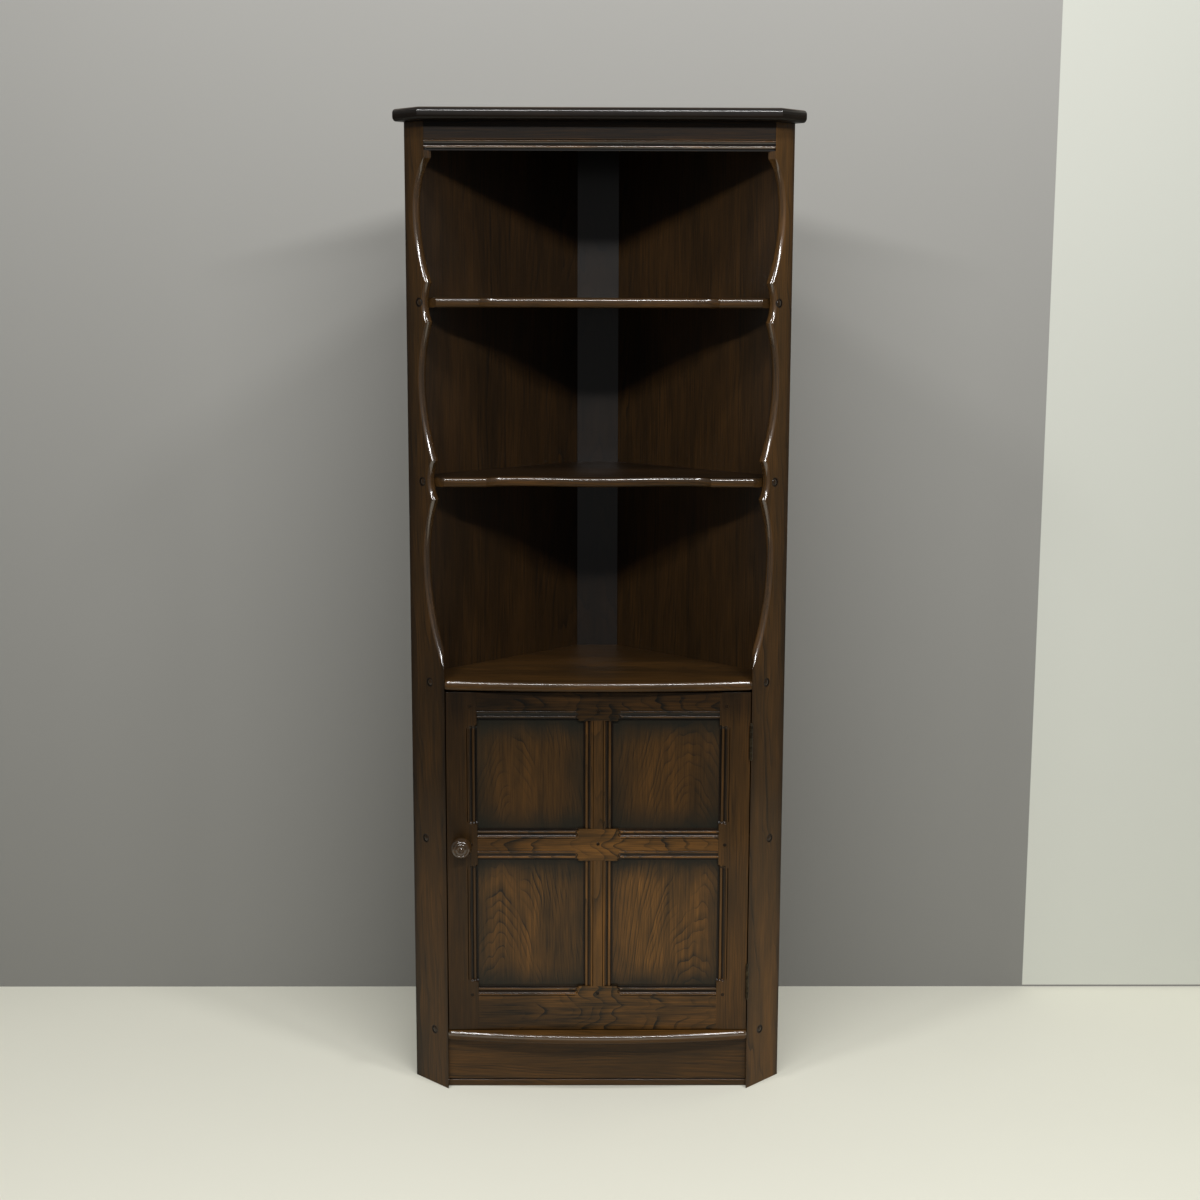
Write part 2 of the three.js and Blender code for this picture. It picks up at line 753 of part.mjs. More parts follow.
// A moulding cutter along a rail's lower edge, from x0 to x1, with rounded stops where asked.
function railMoulding(edgeZ, downwards, x0, x1, stops) {
  const side = downwards ? 1 : -1;
  const section = mouldingWaste().map(([across, depth]) => {
    return [depth, edgeZ + side * (mouldingWidth - across)];
  });
  const ordered = downwards ? section : section.reverse();
  const body = runAcross(ordered, x0, x1);
  const outline = stoppedOutline(x0, x1, stops).map(([along, across]) => {
    return [along, edgeZ + side * (mouldingWidth - across)];
  });
  return keepInside(body, runBack(outline, -maskOverrun, filletDepth + overrun));
}

// A moulding cutter along the right-hand edge of an upright, from z0 to z1.
function uprightMoulding(edgeX, z0, z1, stops) {
  const plan = mouldingWaste().map(([across, depth]) => [edgeX - mouldingWidth + across, depth]);
  const body = prism(plan, z0, z1);
  const outline = stoppedOutline(z0, z1, stops).map(([along, across]) => {
    return [edgeX - mouldingWidth + across, along];
  });
  return keepInside(body, runBack(outline, -maskOverrun, filletDepth + overrun));
}

// The area that a moulding takes on the face, as [along, across]. A stopped end is rounded from
// the outer quirk towards the worked edge, and an open end runs straight out.
function stoppedOutline(start, end, stops) {
  const outer = mouldingWidth + overrun;
  const round = (along, direction) => {
    return Array.from({ length: stopSteps + 1 }, (_, step) => {
      const angle = (quarterTurn * step) / stopSteps;
      const back = direction * stopRadius * (1 - Math.sin(angle));
      return [along + back, stopRadius * (1 - Math.cos(angle))];
    });
  };
  const startCorner = stops.start ? round(start, 1).reverse() : [[start, 0]];
  const endCorner = stops.end ? round(end, -1) : [[end, 0]];
  return [[start, outer], ...startCorner, ...endCorner, [end, outer]];
}

// A groove or mortise that holds a tongue or tenon with the fit gap all round.
function recess([x0, x1], [z0, z1]) {
  return block([x0, x1], [panelSetback - fitGap, panelBack + fitGap], [z0, z1]);
}

// A tenon or tongue, as thick as the panels.
function tongue([x0, x1], [z0, z1]) {
  return block([x0, x1], [panelSetback, panelBack], [z0, z1]);
}

// A hole for a joint peg through the whole door.
function pegHole(x, z) {
  const bore = barBack(jointPegRadius + jointPegGap, -overrun, doorThickness + overrun, pegSides);
  return bore.translate(x, 0, z);
}

// Height of each rail's tenon in the door's frame, clear of the panels' tongues.
const railTenons = {
  top: [topRailBottom + tenonShoulder, doorHeight - tenonShoulder / 2],
  middle: [middleRailBottom + tenonShoulder, middleRailTop - tenonShoulder],
  bottom: [tenonShoulder, bottomRailWidth - tenonShoulder],
};

// Heights of the pegs that hold the rails' tenons.
const railPegHeights = {
  top: doorHeight - topRailPegDrop,
  middle: middleRailBottom + middleRailWidth / 2,
  bottom: bottomRailWidth - bottomRailPegDrop,
};

// Heights of the pegs that hold the muntins' tenons.
const muntinPegHeights = {
  top: topRailBottom + muntinPegInset,
  middle: middleRailTop - middleMuntinPegInset,
  bottom: bottomRailWidth - muntinPegInset + jointPegRadius,
};

const railPegX = sightHalfWidth + railPegInset;

// Lower and upper edges of each row of panels, between the rails.
const panelRows = {
  upper: [middleRailTop, topRailBottom],
  lower: [bottomRailWidth, middleRailBottom],
};

// The left-hand stile, before the knob's screw hole or a hinge's housing is cut.
function stileGeometry() {
  const body = block([-doorHalfWidth, -sightHalfWidth], [0, doorThickness], [0, doorHeight]);
  const cutters = [];
  Object.values(panelRows).forEach(([low, high]) => {
    const grooveStart = -sightHalfWidth - panelTongue - fitGap;
    const grooveEnd = -sightHalfWidth + overrun;
    const reach = panelTongue + fitGap;
    cutters.push(recess([grooveStart, grooveEnd], [low - reach, high + reach]));
    const stops = { start: true, end: true };
    cutters.push(uprightMoulding(-sightHalfWidth, low + stopLength, high - stopLength, stops));
  });
  Object.values(railTenons).forEach(([low, high]) => {
    const mortiseEnd = -sightHalfWidth - tenonLength - fitGap;
    const mortise = [mortiseEnd, -sightHalfWidth + overrun];
    cutters.push(recess(mortise, [low - fitGap, high + fitGap]));
  });
  Object.values(railPegHeights).forEach((height) => cutters.push(pegHole(-railPegX, height)));
  return cut(body, cutters);
}

// The two stopped mouldings along one edge of a rail, on either side of the muntin.
function railMouldings(edgeZ, downwards) {
  const inner = muntinHalfWidth + stopLength;
  const outer = sightHalfWidth + overrun;
  return [
    railMoulding(edgeZ, downwards, -outer, -inner, { start: false, end: true }),
    railMoulding(edgeZ, downwards, inner, outer, { start: true, end: false }),
  ];
}

// A rail between the stiles, with a tenon at each end and a groove on each edge that has panels.
function railGeometry(low, high, tenon, pegHeight, edges) {
  const body = block([-sightHalfWidth, sightHalfWidth], [0, doorThickness], [low, high]);
  const tenonEnd = sightHalfWidth + tenonLength;
  const cutters = edges.flatMap(({ edgeZ, downwards }) => {
    const inward = downwards ? 1 : -1;
    const grooveLimits = [edgeZ - inward * overrun, edgeZ + inward * (panelTongue + fitGap)];
    const grooveEnd = sightHalfWidth + overrun;
    const groove = recess([-grooveEnd, grooveEnd], grooveLimits.sort((a, b) => a - b));
    return [groove, ...railMouldings(edgeZ, downwards)];
  });
  const shaped = cut(body, cutters);
  const tenoned = join(shaped, [
    tongue([-tenonEnd, -sightHalfWidth + tenonShoulder], tenon),
    tongue([sightHalfWidth - tenonShoulder, tenonEnd], tenon),
  ]);
  return cut(tenoned, [pegHole(-railPegX, pegHeight), pegHole(railPegX, pegHeight)]);
}

// A mortise for a muntin's tenon in a rail, from the rail's edge inwards.
function muntinMortise(edgeZ, inward, length) {
  const halfWidth = muntinHalfWidth - tenonShoulder + fitGap;
  const limits = [edgeZ - inward * overrun, edgeZ + inward * (length + fitGap)];
  return recess([-halfWidth, halfWidth], limits.sort((a, b) => a - b));
}

// A muntin between two rails, with its tenons, grooves and mouldings, and one pegged tenon.
function muntinGeometry([low, high], lowerTenon, upperTenon, pegHeights) {
  const body = block([-muntinHalfWidth, muntinHalfWidth], [0, doorThickness], [low, high]);
  const run = [low - overrun, high + overrun];
  const groove = recess([muntinHalfWidth - panelTongue - fitGap, muntinHalfWidth + overrun], run);
  const stops = { start: false, end: false };
  const moulding = uprightMoulding(muntinHalfWidth, run[0], run[1], stops);
  const shaped = cut(body, [groove, mirrored(groove), moulding, mirrored(moulding)]);
  const tenonHalf = muntinHalfWidth - tenonShoulder;
  const tenoned = join(shaped, [
    tongue([-tenonHalf, tenonHalf], [low - lowerTenon, low + tenonShoulder]),
    tongue([-tenonHalf, tenonHalf], [high - tenonShoulder, high + upperTenon]),
  ]);
  return cut(tenoned, pegHeights.map((height) => pegHole(0, height)));
}

// A flat panel, right of the muntin, with its edges in the grooves.
function panelGeometry([low, high]) {
  const inner = muntinHalfWidth - panelTongue;
  const outer = sightHalfWidth + panelTongue;
  return tongue([inner, outer], [low - panelTongue, high + panelTongue]);
}

// A joint peg, flush with both faces of the door.
function jointPeg(x, z) {
  return barBack(jointPegRadius, 0, doorThickness, pegSides).translate(x, 0, z);
}

// One leaf of a butt hinge about an axis on x = 0, y = 0, from z = -hingeLength / 2 up. The leaf
// lies on the side of the given sign, and its knuckles are the even or the odd ones.
function hingeLeaf(side, firstKnuckle) {
  const bottom = -hingeLength / 2;
  const pitch = hingeLength / knuckleCount;
  const plateX = [doorSideGap / 2, doorSideGap / 2 + leafThickness].map((x) => x * side);
  const plateLimits = plateX.sort((a, b) => a - b);
  const plate = block(plateLimits, [0, leafReach], [bottom, -bottom]);
  const barrels = [];
  const notches = [];
  for (let index = 0; index < knuckleCount; index += 1) {
    const low = bottom + index * pitch;
    const own = index % 2 === firstKnuckle;
    if (own) {
      const lowGap = index === 0 ? 0 : knuckleGap / 2;
      const highGap = index === knuckleCount - 1 ? 0 : knuckleGap / 2;
      const length = pitch - lowGap - highGap;
      const barrel = new THREE.CylinderGeometry(
        knuckleRadius,
        knuckleRadius,
        length,
        knuckleSides,
      );
      barrel.rotateX(quarterTurn);
      barrels.push(barrel.translate(0, 0, low + lowGap + length / 2));
    } else {
      const reach = knuckleRadius + leafNotchGap;
      const lowEnd = index === 0 ? low - overrun : low - knuckleGap / 2;
      const highEnd = index === knuckleCount - 1 ? low + pitch + overrun : low + pitch + knuckleGap / 2;
      notches.push(block([-reach, reach], [-reach, reach], [lowEnd, highEnd]));
    }
  }
  const bore = new THREE.CylinderGeometry(
    hingeBoreRadius,
    hingeBoreRadius,
    hingeLength + overrun,
    knuckleSides,
  );
  bore.rotateX(quarterTurn);
  return cut(join(plate, barrels), [bore, ...notches]);
}

// The loose pin with its rounded tips.
function hingePin() {
  const half = hingeLength / 2 + knuckleGap;
  const end = half + hingeTipLength;
  const crownRadius = hingeTipRadius * hingeTipShares.crownRadius;
  const crown = half + hingeTipLength * hingeTipShares.crown;
  const shoulder = half + hingeTipLength * hingeTipShares.shoulder;
  const profile = [
    [0, -end],
    [crownRadius, -crown],
    [hingeTipRadius, -shoulder],
    [hingeTipRadius, -half],
    [hingePinRadius, -half],
    [hingePinRadius, half],
    [hingeTipRadius, half],
    [hingeTipRadius, shoulder],
    [crownRadius, crown],
    [0, end],
  ];
  const points = profile.map(([radius, height]) => new THREE.Vector2(radius, height));
  return new THREE.LatheGeometry(points, knuckleSides).rotateX(quarterTurn);
}

// The housing that lets a leaf into the door's edge or the side board's.
function hingeHousing(side, middleZ) {
  const nearX = doorSideGap / 2 - overrun;
  const farX = doorSideGap / 2 + leafThickness + fitGap;
  const limitsX = [nearX * side, farX * side].sort((a, b) => a - b);
  const halfLength = hingeLength / 2 + fitGap;
  const housing = block(
    limitsX,
    [-hingeAxisY - overrun, leafReach + fitGap],
    [-halfLength, halfLength],
  );
  return housing.translate(hingeAxisX, hingeAxisY, middleZ);
}

// The knob's profile as [radius, distance in front of the door].
function knobProfile() {
  const footEnd = knobFootLength;
  const neckEnd = footEnd + knobNeckLength;
  const rimMiddle = neckEnd + knobRimLength;
  const faceStart = knobProjection - knobRingDepth - knobButtonHeight;
  const profile = [
    [0, 0],
    [knobFootRadius, 0],
    [knobFootRadius, footEnd],
    [knobNeckRadius, footEnd + knobFootLength],
    [knobNeckRadius, neckEnd],
  ];
  for (let step = 1; step <= knobCurveSteps; step += 1) {
    const angle = (quarterTurn * step) / knobCurveSteps;
    const radius = knobNeckRadius + (knobRadius - knobNeckRadius) * Math.sin(angle);
    profile.push([radius, neckEnd + knobRimLength * (1 - Math.cos(angle))]);
  }
  for (let step = 1; step <= knobCurveSteps; step += 1) {
    const angle = (quarterTurn * step) / knobCurveSteps;
    const radius = knobRingRadius + (knobRadius - knobRingRadius) * Math.cos(angle);
    profile.push([radius, rimMiddle + (faceStart - rimMiddle) * Math.sin(angle)]);
  }
  profile.push(
    [knobRingRadius - knobRingDepth, faceStart - knobRingDepth],
    [knobRingRadius - 2 * knobRingDepth, faceStart],
    [knobButtonRadius + 2 * knobRingDepth, faceStart + knobRingDepth],
    [knobButtonRadius, faceStart],
    [knobButtonRadius * knobButtonEdgeShare, faceStart + knobRingDepth],
    [0, faceStart + knobRingDepth + knobButtonHeight],
  );
  return profile;
}

// A solid turned about an axis that runs forwards, out of the door.
function turnedForwards(profile, sides) {
  const points = profile.map(([radius, forward]) => new THREE.Vector2(radius, forward));
  return new THREE.LatheGeometry(points, sides).rotateX(Math.PI);
}

// The knob, bored from behind for its screw.
function knobGeometry() {
  const turned = turnedForwards(knobProfile(), knobSides);
  const bore = barBack(knobScrewRadius + fitGap, -knobScrewBite - fitGap, overrun, pegSides);
  return cut(turned, [bore]);
}

// The knob's screw, its pan head against the back of the stile.
function knobScrewGeometry() {
  const back = -doorThickness;
  const profile = [
    [0, back - knobScrewHeadHeight],
    [knobScrewHeadRadius * screwHeadShares.faceRadius, back - knobScrewHeadHeight],
    [knobScrewHeadRadius, back - knobScrewHeadHeight * screwHeadShares.rim],
    [knobScrewHeadRadius, back],
    [knobScrewRadius, back],
    [knobScrewRadius, knobScrewBite],
    [0, knobScrewBite],
  ];
  return turnedForwards(profile, pegSides);
}

// The magnetic catch, a case with rounded corners screwed under the waist shelf.
function catchGeometry() {
  const half = catchWidth / 2;
  const shape = new THREE.Shape();
  shape.moveTo(-half, 0);
  shape.lineTo(half, 0);
  shape.lineTo(half, catchDepth - catchCornerRadius);
  const arcX = half - catchCornerRadius;
  const arcY = catchDepth - catchCornerRadius;
  shape.absarc(arcX, arcY, catchCornerRadius, 0, quarterTurn);
  shape.lineTo(-arcX, catchDepth);
  shape.absarc(-arcX, arcY, catchCornerRadius, quarterTurn, 2 * quarterTurn);
  const options = { depth: catchHeight, bevelEnabled: false, curveSegments: stopSteps };
  return new THREE.ExtrudeGeometry(shape, options);
}

// One sub-part: a mesh with its own material, in the group that carries it.
function addPart(group, name, geometry, finish) {
  const mesh = new THREE.Mesh(geometry, new THREE.MeshStandardMaterial(finishes[finish]));
  mesh.name = name;
  group.add(mesh);
  return mesh;
}

// The whole cupboard, moved so that the middle of its depth lies on the origin
const frontmostY = -Math.max(knobProjection, baseBow + baseEndProjection);
const cupboard = new THREE.Group();
cupboard.position.y = -(frontmostY + topRearY) / 2;

// Each wing holds a side board, its plugs and the back panel, in the side board's own frame
const wings = [
  { side: 'left', sign: -1 },
  { side: 'right', sign: 1 },
];
wings.forEach(({ side, sign }) => {
  const wing = new THREE.Group();
  wing.position.set(sign * wallEndX, wallEndY, 0);
  wing.rotation.z = sign * cant;
  wing.updateMatrix();
  cupboard.add(wing);
  const handed = (geometry) => (sign < 0 ? geometry : mirrored(geometry));

  let sideBoard = handed(sideBoardGeometry());
  if (sign > 0) {
    const intoWing = wing.matrix.clone().invert();
    const housings = [upperHingeMiddle, lowerHingeMiddle].map((middleZ) => {
      return hingeHousing(1, middleZ).applyMatrix4(intoWing);
    });
    sideBoard = cut(sideBoard, housings);
  }
  addPart(wing, `${side}_side_board`, sideBoard, 'carcase');
  addPart(wing, `${side}_back_panel`, handed(backPanelGeometry()), 'back');
  plugPlaces.forEach(([shelf, width, height]) => {
    const plug = addPart(wing, `${side}_${shelf}_plug`, plugGeometry(), 'plug');
    plug.position.set(-sign * width, 0, height);
  });
});

// Boards that span between the wings
addPart(cupboard, 'corner_back_board', cornerBoardGeometry(), 'back');
addPart(cupboard, 'top_board', topBoard(), 'carcase');
addPart(cupboard, 'frieze_rail', friezeGeometry(), 'carcase');
addPart(cupboard, 'upper_shelf', serpentineShelf(upperShelfFront, upperShelfTop), 'carcase');
addPart(cupboard, 'middle_shelf', serpentineShelf(middleShelfFront, middleShelfTop), 'carcase');
addPart(cupboard, 'waist_shelf', bowedShelf(waistBow, waistEndProjection, waistShelfTop), 'carcase');
addPart(cupboard, 'inner_shelf', innerShelf(), 'carcase');
addPart(cupboard, 'base_board', bowedShelf(baseBow, baseEndProjection, baseBoardTop), 'carcase');
addPart(cupboard, 'plinth_board', plinthGeometry(), 'carcase');

// Glue blocks behind the frieze and the plinth
const friezeBlock = glueBlock(friezeBack, friezeBottom + mouldingWidth, boardTop);
const plinthBlock = glueBlock(plinthBack, baseBoardBottom - plinthBlockHeight, baseBoardBottom);
addPart(cupboard, 'right_frieze_block', friezeBlock, 'block');
addPart(cupboard, 'left_frieze_block', mirrored(friezeBlock), 'block');
addPart(cupboard, 'right_plinth_block', plinthBlock, 'block');
addPart(cupboard, 'left_plinth_block', mirrored(plinthBlock), 'block');

// The catch hangs under the waist shelf, just behind the door's strike plate
const catchX = -sightHalfWidth + catchInset;
const catchFront = doorThickness + strikeThickness + fitGap;
const doorCatch = addPart(cupboard, 'door_catch', catchGeometry(), 'plastic');
doorCatch.position.set(catchX, catchFront, waistShelfBottom - catchHeight);

// The door and what it carries
const door = new THREE.Group();
door.position.z = doorBottom;
cupboard.add(door);

const stile = stileGeometry();
const hingeHousings = [upperHingeMiddle, lowerHingeMiddle].map((middleZ) => {
  return hingeHousing(-1, middleZ - doorBottom);
});
const knobHole = barBack(knobScrewRadius + fitGap, -overrun, doorThickness + overrun, pegSides);
addPart(door, 'door_left_stile', cut(stile, [knobHole.translate(knobX, 0, knobZ)]), 'door');
addPart(door, 'door_right_stile', cut(mirrored(stile), hingeHousings), 'door');

const topRailBlank = railGeometry(topRailBottom, doorHeight, railTenons.top, railPegHeights.top, [
  { edgeZ: topRailBottom, downwards: true },
]);
const topRail = cut(topRailBlank, [
  muntinMortise(topRailBottom, 1, muntinTenonLength),
  pegHole(0, muntinPegHeights.top),
]);
addPart(door, 'door_top_rail', topRail, 'door');

const middleEdges = [
  { edgeZ: middleRailBottom, downwards: true },
  { edgeZ: middleRailTop, downwards: false },
];
const middleRailBlank = railGeometry(
  middleRailBottom,
  middleRailTop,
  railTenons.middle,
  railPegHeights.middle,
  middleEdges,
);
const shortMiddleTenon = middleRailWidth - longMuntinTenonLength - 2 * fitGap - jointPegRadius;
const middleRail = cut(middleRailBlank, [
  muntinMortise(middleRailTop, -1, longMuntinTenonLength),
  muntinMortise(middleRailBottom, 1, shortMiddleTenon),
  pegHole(0, muntinPegHeights.middle),
]);
addPart(door, 'door_middle_rail', middleRail, 'door');

const bottomRailBlank = railGeometry(0, bottomRailWidth, railTenons.bottom, railPegHeights.bottom, [
  { edgeZ: bottomRailWidth, downwards: false },
]);
const bottomRail = cut(bottomRailBlank, [
  muntinMortise(bottomRailWidth, -1, muntinTenonLength),
  pegHole(0, muntinPegHeights.bottom),
]);
addPart(door, 'door_bottom_rail', bottomRail, 'door');

const upperMuntinPegs = [muntinPegHeights.top, muntinPegHeights.middle];
const upperMuntin = muntinGeometry(
  panelRows.upper,
  longMuntinTenonLength,
  muntinTenonLength,
  upperMuntinPegs,
);
const lowerMuntin = muntinGeometry(
  panelRows.lower,
  muntinTenonLength,
  shortMiddleTenon,
  [muntinPegHeights.bottom],
);
addPart(door, 'door_upper_muntin', upperMuntin, 'door');
addPart(door, 'door_lower_muntin', lowerMuntin, 'door');

Object.entries(panelRows).forEach(([row, limits]) => {
  const panel = panelGeometry(limits);
  addPart(door, `door_${row}_right_panel`, panel, 'panel');
  addPart(door, `door_${row}_left_panel`, mirrored(panel), 'panel');
});

Object.entries(railPegHeights).forEach(([rail, height]) => {
  addPart(door, `${rail}_rail_left_peg`, jointPeg(-railPegX, height), 'plug');
  addPart(door, `${rail}_rail_right_peg`, jointPeg(railPegX, height), 'plug');
});
Object.entries(muntinPegHeights).forEach(([place, height]) => {
  addPart(door, `${place}_muntin_peg`, jointPeg(0, height), 'plug');
});

const knob = addPart(door, 'door_knob', knobGeometry(), 'plug');
knob.position.set(knobX, 0, knobZ);
const knobScrew = addPart(door, 'knob_screw', knobScrewGeometry(), 'steel');
knobScrew.position.set(knobX, 0, knobZ);

const strike = block(
  [catchX - strikeWidth / 2, catchX + strikeWidth / 2],
  [doorThickness, doorThickness + strikeThickness],
  [doorHeight - strikeHeight, doorHeight],
);
addPart(door, 'catch_strike', strike, 'steel');

// Two butt hinges: one leaf in the side board, one in the door, and a loose pin
const hinges = [
  ['upper', upperHingeMiddle],
  ['lower', lowerHingeMiddle],
];
hinges.forEach(([place, middleZ]) => {
  const hinge = new THREE.Group();
  hinge.position.set(hingeAxisX, hingeAxisY, middleZ);
  cupboard.add(hinge);
  addPart(hinge, `${place}_hinge_case_leaf`, hingeLeaf(1, 0), 'brass');
  addPart(hinge, `${place}_hinge_door_leaf`, hingeLeaf(-1, 1), 'brass');
  addPart(hinge, `${place}_hinge_pin`, hingePin(), 'brass');
});

export default cupboard;
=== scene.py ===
"""A tall corner cupboard in dark stained hardwood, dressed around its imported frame.

Lengths are metres. X runs along the front, the front faces -Y and Z is up. In plan, the sizes of
the case are measured from the door's front face, as a maker would set them out.
"""

import logging
import math
from dataclasses import dataclass, field
from enum import Enum

import bmesh
import bpy
import numpy as np
from mathutils import Matrix, Vector


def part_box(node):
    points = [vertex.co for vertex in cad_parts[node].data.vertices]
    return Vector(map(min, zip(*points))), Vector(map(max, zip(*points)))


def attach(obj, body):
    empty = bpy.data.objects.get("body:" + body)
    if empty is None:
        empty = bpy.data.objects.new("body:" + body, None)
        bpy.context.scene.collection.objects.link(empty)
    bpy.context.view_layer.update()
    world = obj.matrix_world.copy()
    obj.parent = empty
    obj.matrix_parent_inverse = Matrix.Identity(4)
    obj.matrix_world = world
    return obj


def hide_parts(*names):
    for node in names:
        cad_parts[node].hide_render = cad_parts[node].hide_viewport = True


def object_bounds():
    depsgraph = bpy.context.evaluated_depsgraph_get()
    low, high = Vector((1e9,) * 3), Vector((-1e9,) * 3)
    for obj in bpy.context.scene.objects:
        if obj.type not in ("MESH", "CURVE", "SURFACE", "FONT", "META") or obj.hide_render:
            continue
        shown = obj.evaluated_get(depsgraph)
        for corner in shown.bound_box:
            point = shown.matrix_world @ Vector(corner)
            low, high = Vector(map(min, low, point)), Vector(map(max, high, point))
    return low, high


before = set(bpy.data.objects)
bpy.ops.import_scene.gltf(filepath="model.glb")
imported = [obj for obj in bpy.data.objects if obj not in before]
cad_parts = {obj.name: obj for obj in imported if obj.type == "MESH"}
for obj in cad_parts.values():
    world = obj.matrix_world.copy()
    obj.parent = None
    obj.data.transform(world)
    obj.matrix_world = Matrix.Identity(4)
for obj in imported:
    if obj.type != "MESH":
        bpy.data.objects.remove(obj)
cad_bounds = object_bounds()
log = logging.getLogger("corner_cupboard")

TURN = 2 * math.pi
QUARTER = math.pi / 2
DIAGONAL = math.sqrt(2)
SLANT = 1 / DIAGONAL
OVERRUN = 0.004
FIT_GAP = 0.0003
MITRE_GAP = FIT_GAP * DIAGONAL
MERGE_DISTANCE = 1e-7
SMOOTH_ANGLE = math.radians(38)
ARRIS_ANGLE = math.radians(40)
ARRIS_SEGMENTS = 3
HOLE_SIDES = 24

Colour = tuple[float, float, float]


class Body(Enum):
    """The two bodies of the cupboard."""

    CASE = "case"
    DOOR = "door"


class Side(Enum):
    """A side of the cupboard, with the sign of its x."""

    LEFT = -1
    RIGHT = 1

    @property
    def word(self) -> str:
        """The side in words."""
        return self.name.lower()

    def span(self, near: float, far: float) -> tuple[float, float]:
        """Returns what lies from near to far on this side, as the lower x and the higher one."""
        low, high = sorted((self.value * near, self.value * far))
        return low, high


class Slot(Enum):
    """The material slots of the record."""

    CARCASE = "carcase_wood"
    BACK = "back_wood"
    DOOR = "door_wood"
    PANEL = "panel_wood"
    PLUG = "plug_wood"
    BLOCK = "block_wood"
    BRASS = "hinge_brass"
    STEEL = "bright_steel"
    PLASTIC = "catch_plastic"


class Lie(Enum):
    """How a board's timber lies: the direction of its grain, then the direction across its face."""

    UPRIGHT = ((0, 0, 1), (1, 0, 0))
    RAIL = ((1, 0, 0), (0, 0, 1))
    SHELF = ((1, 0, 0), (0, 1, 0))
    LEFT_SIDE = ((0, 0, 1), (0.7071, -0.7071, 0))
    RIGHT_SIDE = ((0, 0, 1), (-0.7071, -0.7071, 0))
    LEFT_BACK = ((0, 0, 1), (0.7071, 0.7071, 0))
    RIGHT_BACK = ((0, 0, 1), (-0.7071, 0.7071, 0))
    TURNED = ((0, 1, 0), (1, 0, 0))


class Work(Enum):
    """What a tool does to the body it is applied to."""

    CUT = "DIFFERENCE"
    JOIN = "UNION"


# Closed surfaces


@dataclass
class Shell:
    """The points and faces of one closed surface."""

    points: np.ndarray
    faces: list[list[int]]

    @classmethod
    def lofted(cls, rings: np.ndarray, ends: bool = True) -> "Shell":
        """Joins closed rings in order, each point to the same point of the next ring.

        Args:
            rings: points of shape (rings, points round, 3).
            ends: whether the first and the last ring are closed by a flat face.

        Returns:
            The shell.
        """
        levels, around = rings.shape[:2]
        index = np.arange(levels * around).reshape(levels, around)
        here, above = index[:-1], index[1:]
        quads = np.stack([here, np.roll(here, -1, 1), np.roll(above, -1, 1), above], axis=-1)
        faces = quads.reshape(-1, 4).tolist()
        if ends:
            faces += [index[0, ::-1].tolist(), index[-1].tolist()]
        return cls(rings.reshape(-1, 3), faces)

    @classmethod
    def turned(cls, radii: np.ndarray, heights: np.ndarray, sides: int) -> "Shell":
        """Turns a profile about the z axis: x = r cos a, y = r sin a, z = h.

        Args:
            radii: radius of each profile point, zero at both ends.
            heights: height of each profile point.
            sides: number of steps round the axis.

        Returns:
            The shell, closed by a pole at each end.
        """
        angles = np.arange(sides) * (TURN / sides)
        inner = radii[1:-1, None]
        level = np.broadcast_to(heights[1:-1, None], (len(inner), sides))
        rings = np.stack([inner * np.cos(angles), inner * np.sin(angles), level], axis=-1)
        shell = cls.lofted(rings, ends=False)
        first = np.arange(sides)
        last = first + (len(inner) - 1) * sides
        count = len(shell.points)
        lower = np.stack([np.roll(first, -1), first, np.full(sides, count)], axis=-1)
        upper = np.stack([last, np.roll(last, -1), np.full(sides, count + 1)], axis=-1)
        poles = np.array([[0, 0, heights[0]], [0, 0, heights[-1]]])
        points = np.concatenate([shell.points, poles])
        return cls(points, shell.faces + lower.tolist() + upper.tolist())

    @classmethod
    def box(cls, low: tuple, high: tuple) -> "Shell":
        """Returns a block between two opposite corners."""
        (x0, y0, z0), (x1, y1, z1) = low, high
        plan = np.array([[x0, y0], [x1, y0], [x1, y1], [x0, y1]])
        return cls.prism(plan, z0, z1)

    @classmethod
    def prism(cls, plan: np.ndarray, low: float, high: float) -> "Shell":
        """Returns an upright prism over a plan outline, from one height to another."""
        rings = [np.column_stack([plan, np.full(len(plan), z)]) for z in (low, high)]
        return cls.lofted(np.stack(rings))

    @classmethod
    def rod(cls, radius: float, low: float, high: float, sides: int) -> "Shell":
        """Returns a round bar along the z axis."""
        return cls.turned(np.array([0, radius, radius, 0]), np.array([low, low, high, high]), sides)

    def moved(self, place: Matrix) -> "Shell":
        """Returns the shell under an affine map."""
        turn = np.array(place.to_3x3())
        return Shell(self.points @ turn.T + np.array(place.translation), self.faces)

    def mesh(self, name: str) -> bpy.types.Mesh:
        """Returns the shell as a mesh whose faces point outwards."""
        mesh = bpy.data.meshes.new(name)
        mesh.from_pydata(self.points.tolist(), [], self.faces)
        facing_out(mesh)
        return mesh


def facing_out(mesh: bpy.types.Mesh) -> None:
    """Merges a mesh's doubles and turns its faces outwards."""
    work = bmesh.new()
    work.from_mesh(mesh)
    bmesh.ops.remove_doubles(work, verts=work.verts, dist=MERGE_DISTANCE)
    bmesh.ops.recalc_face_normals(work, faces=work.faces)
    work.to_mesh(mesh)
    work.free()


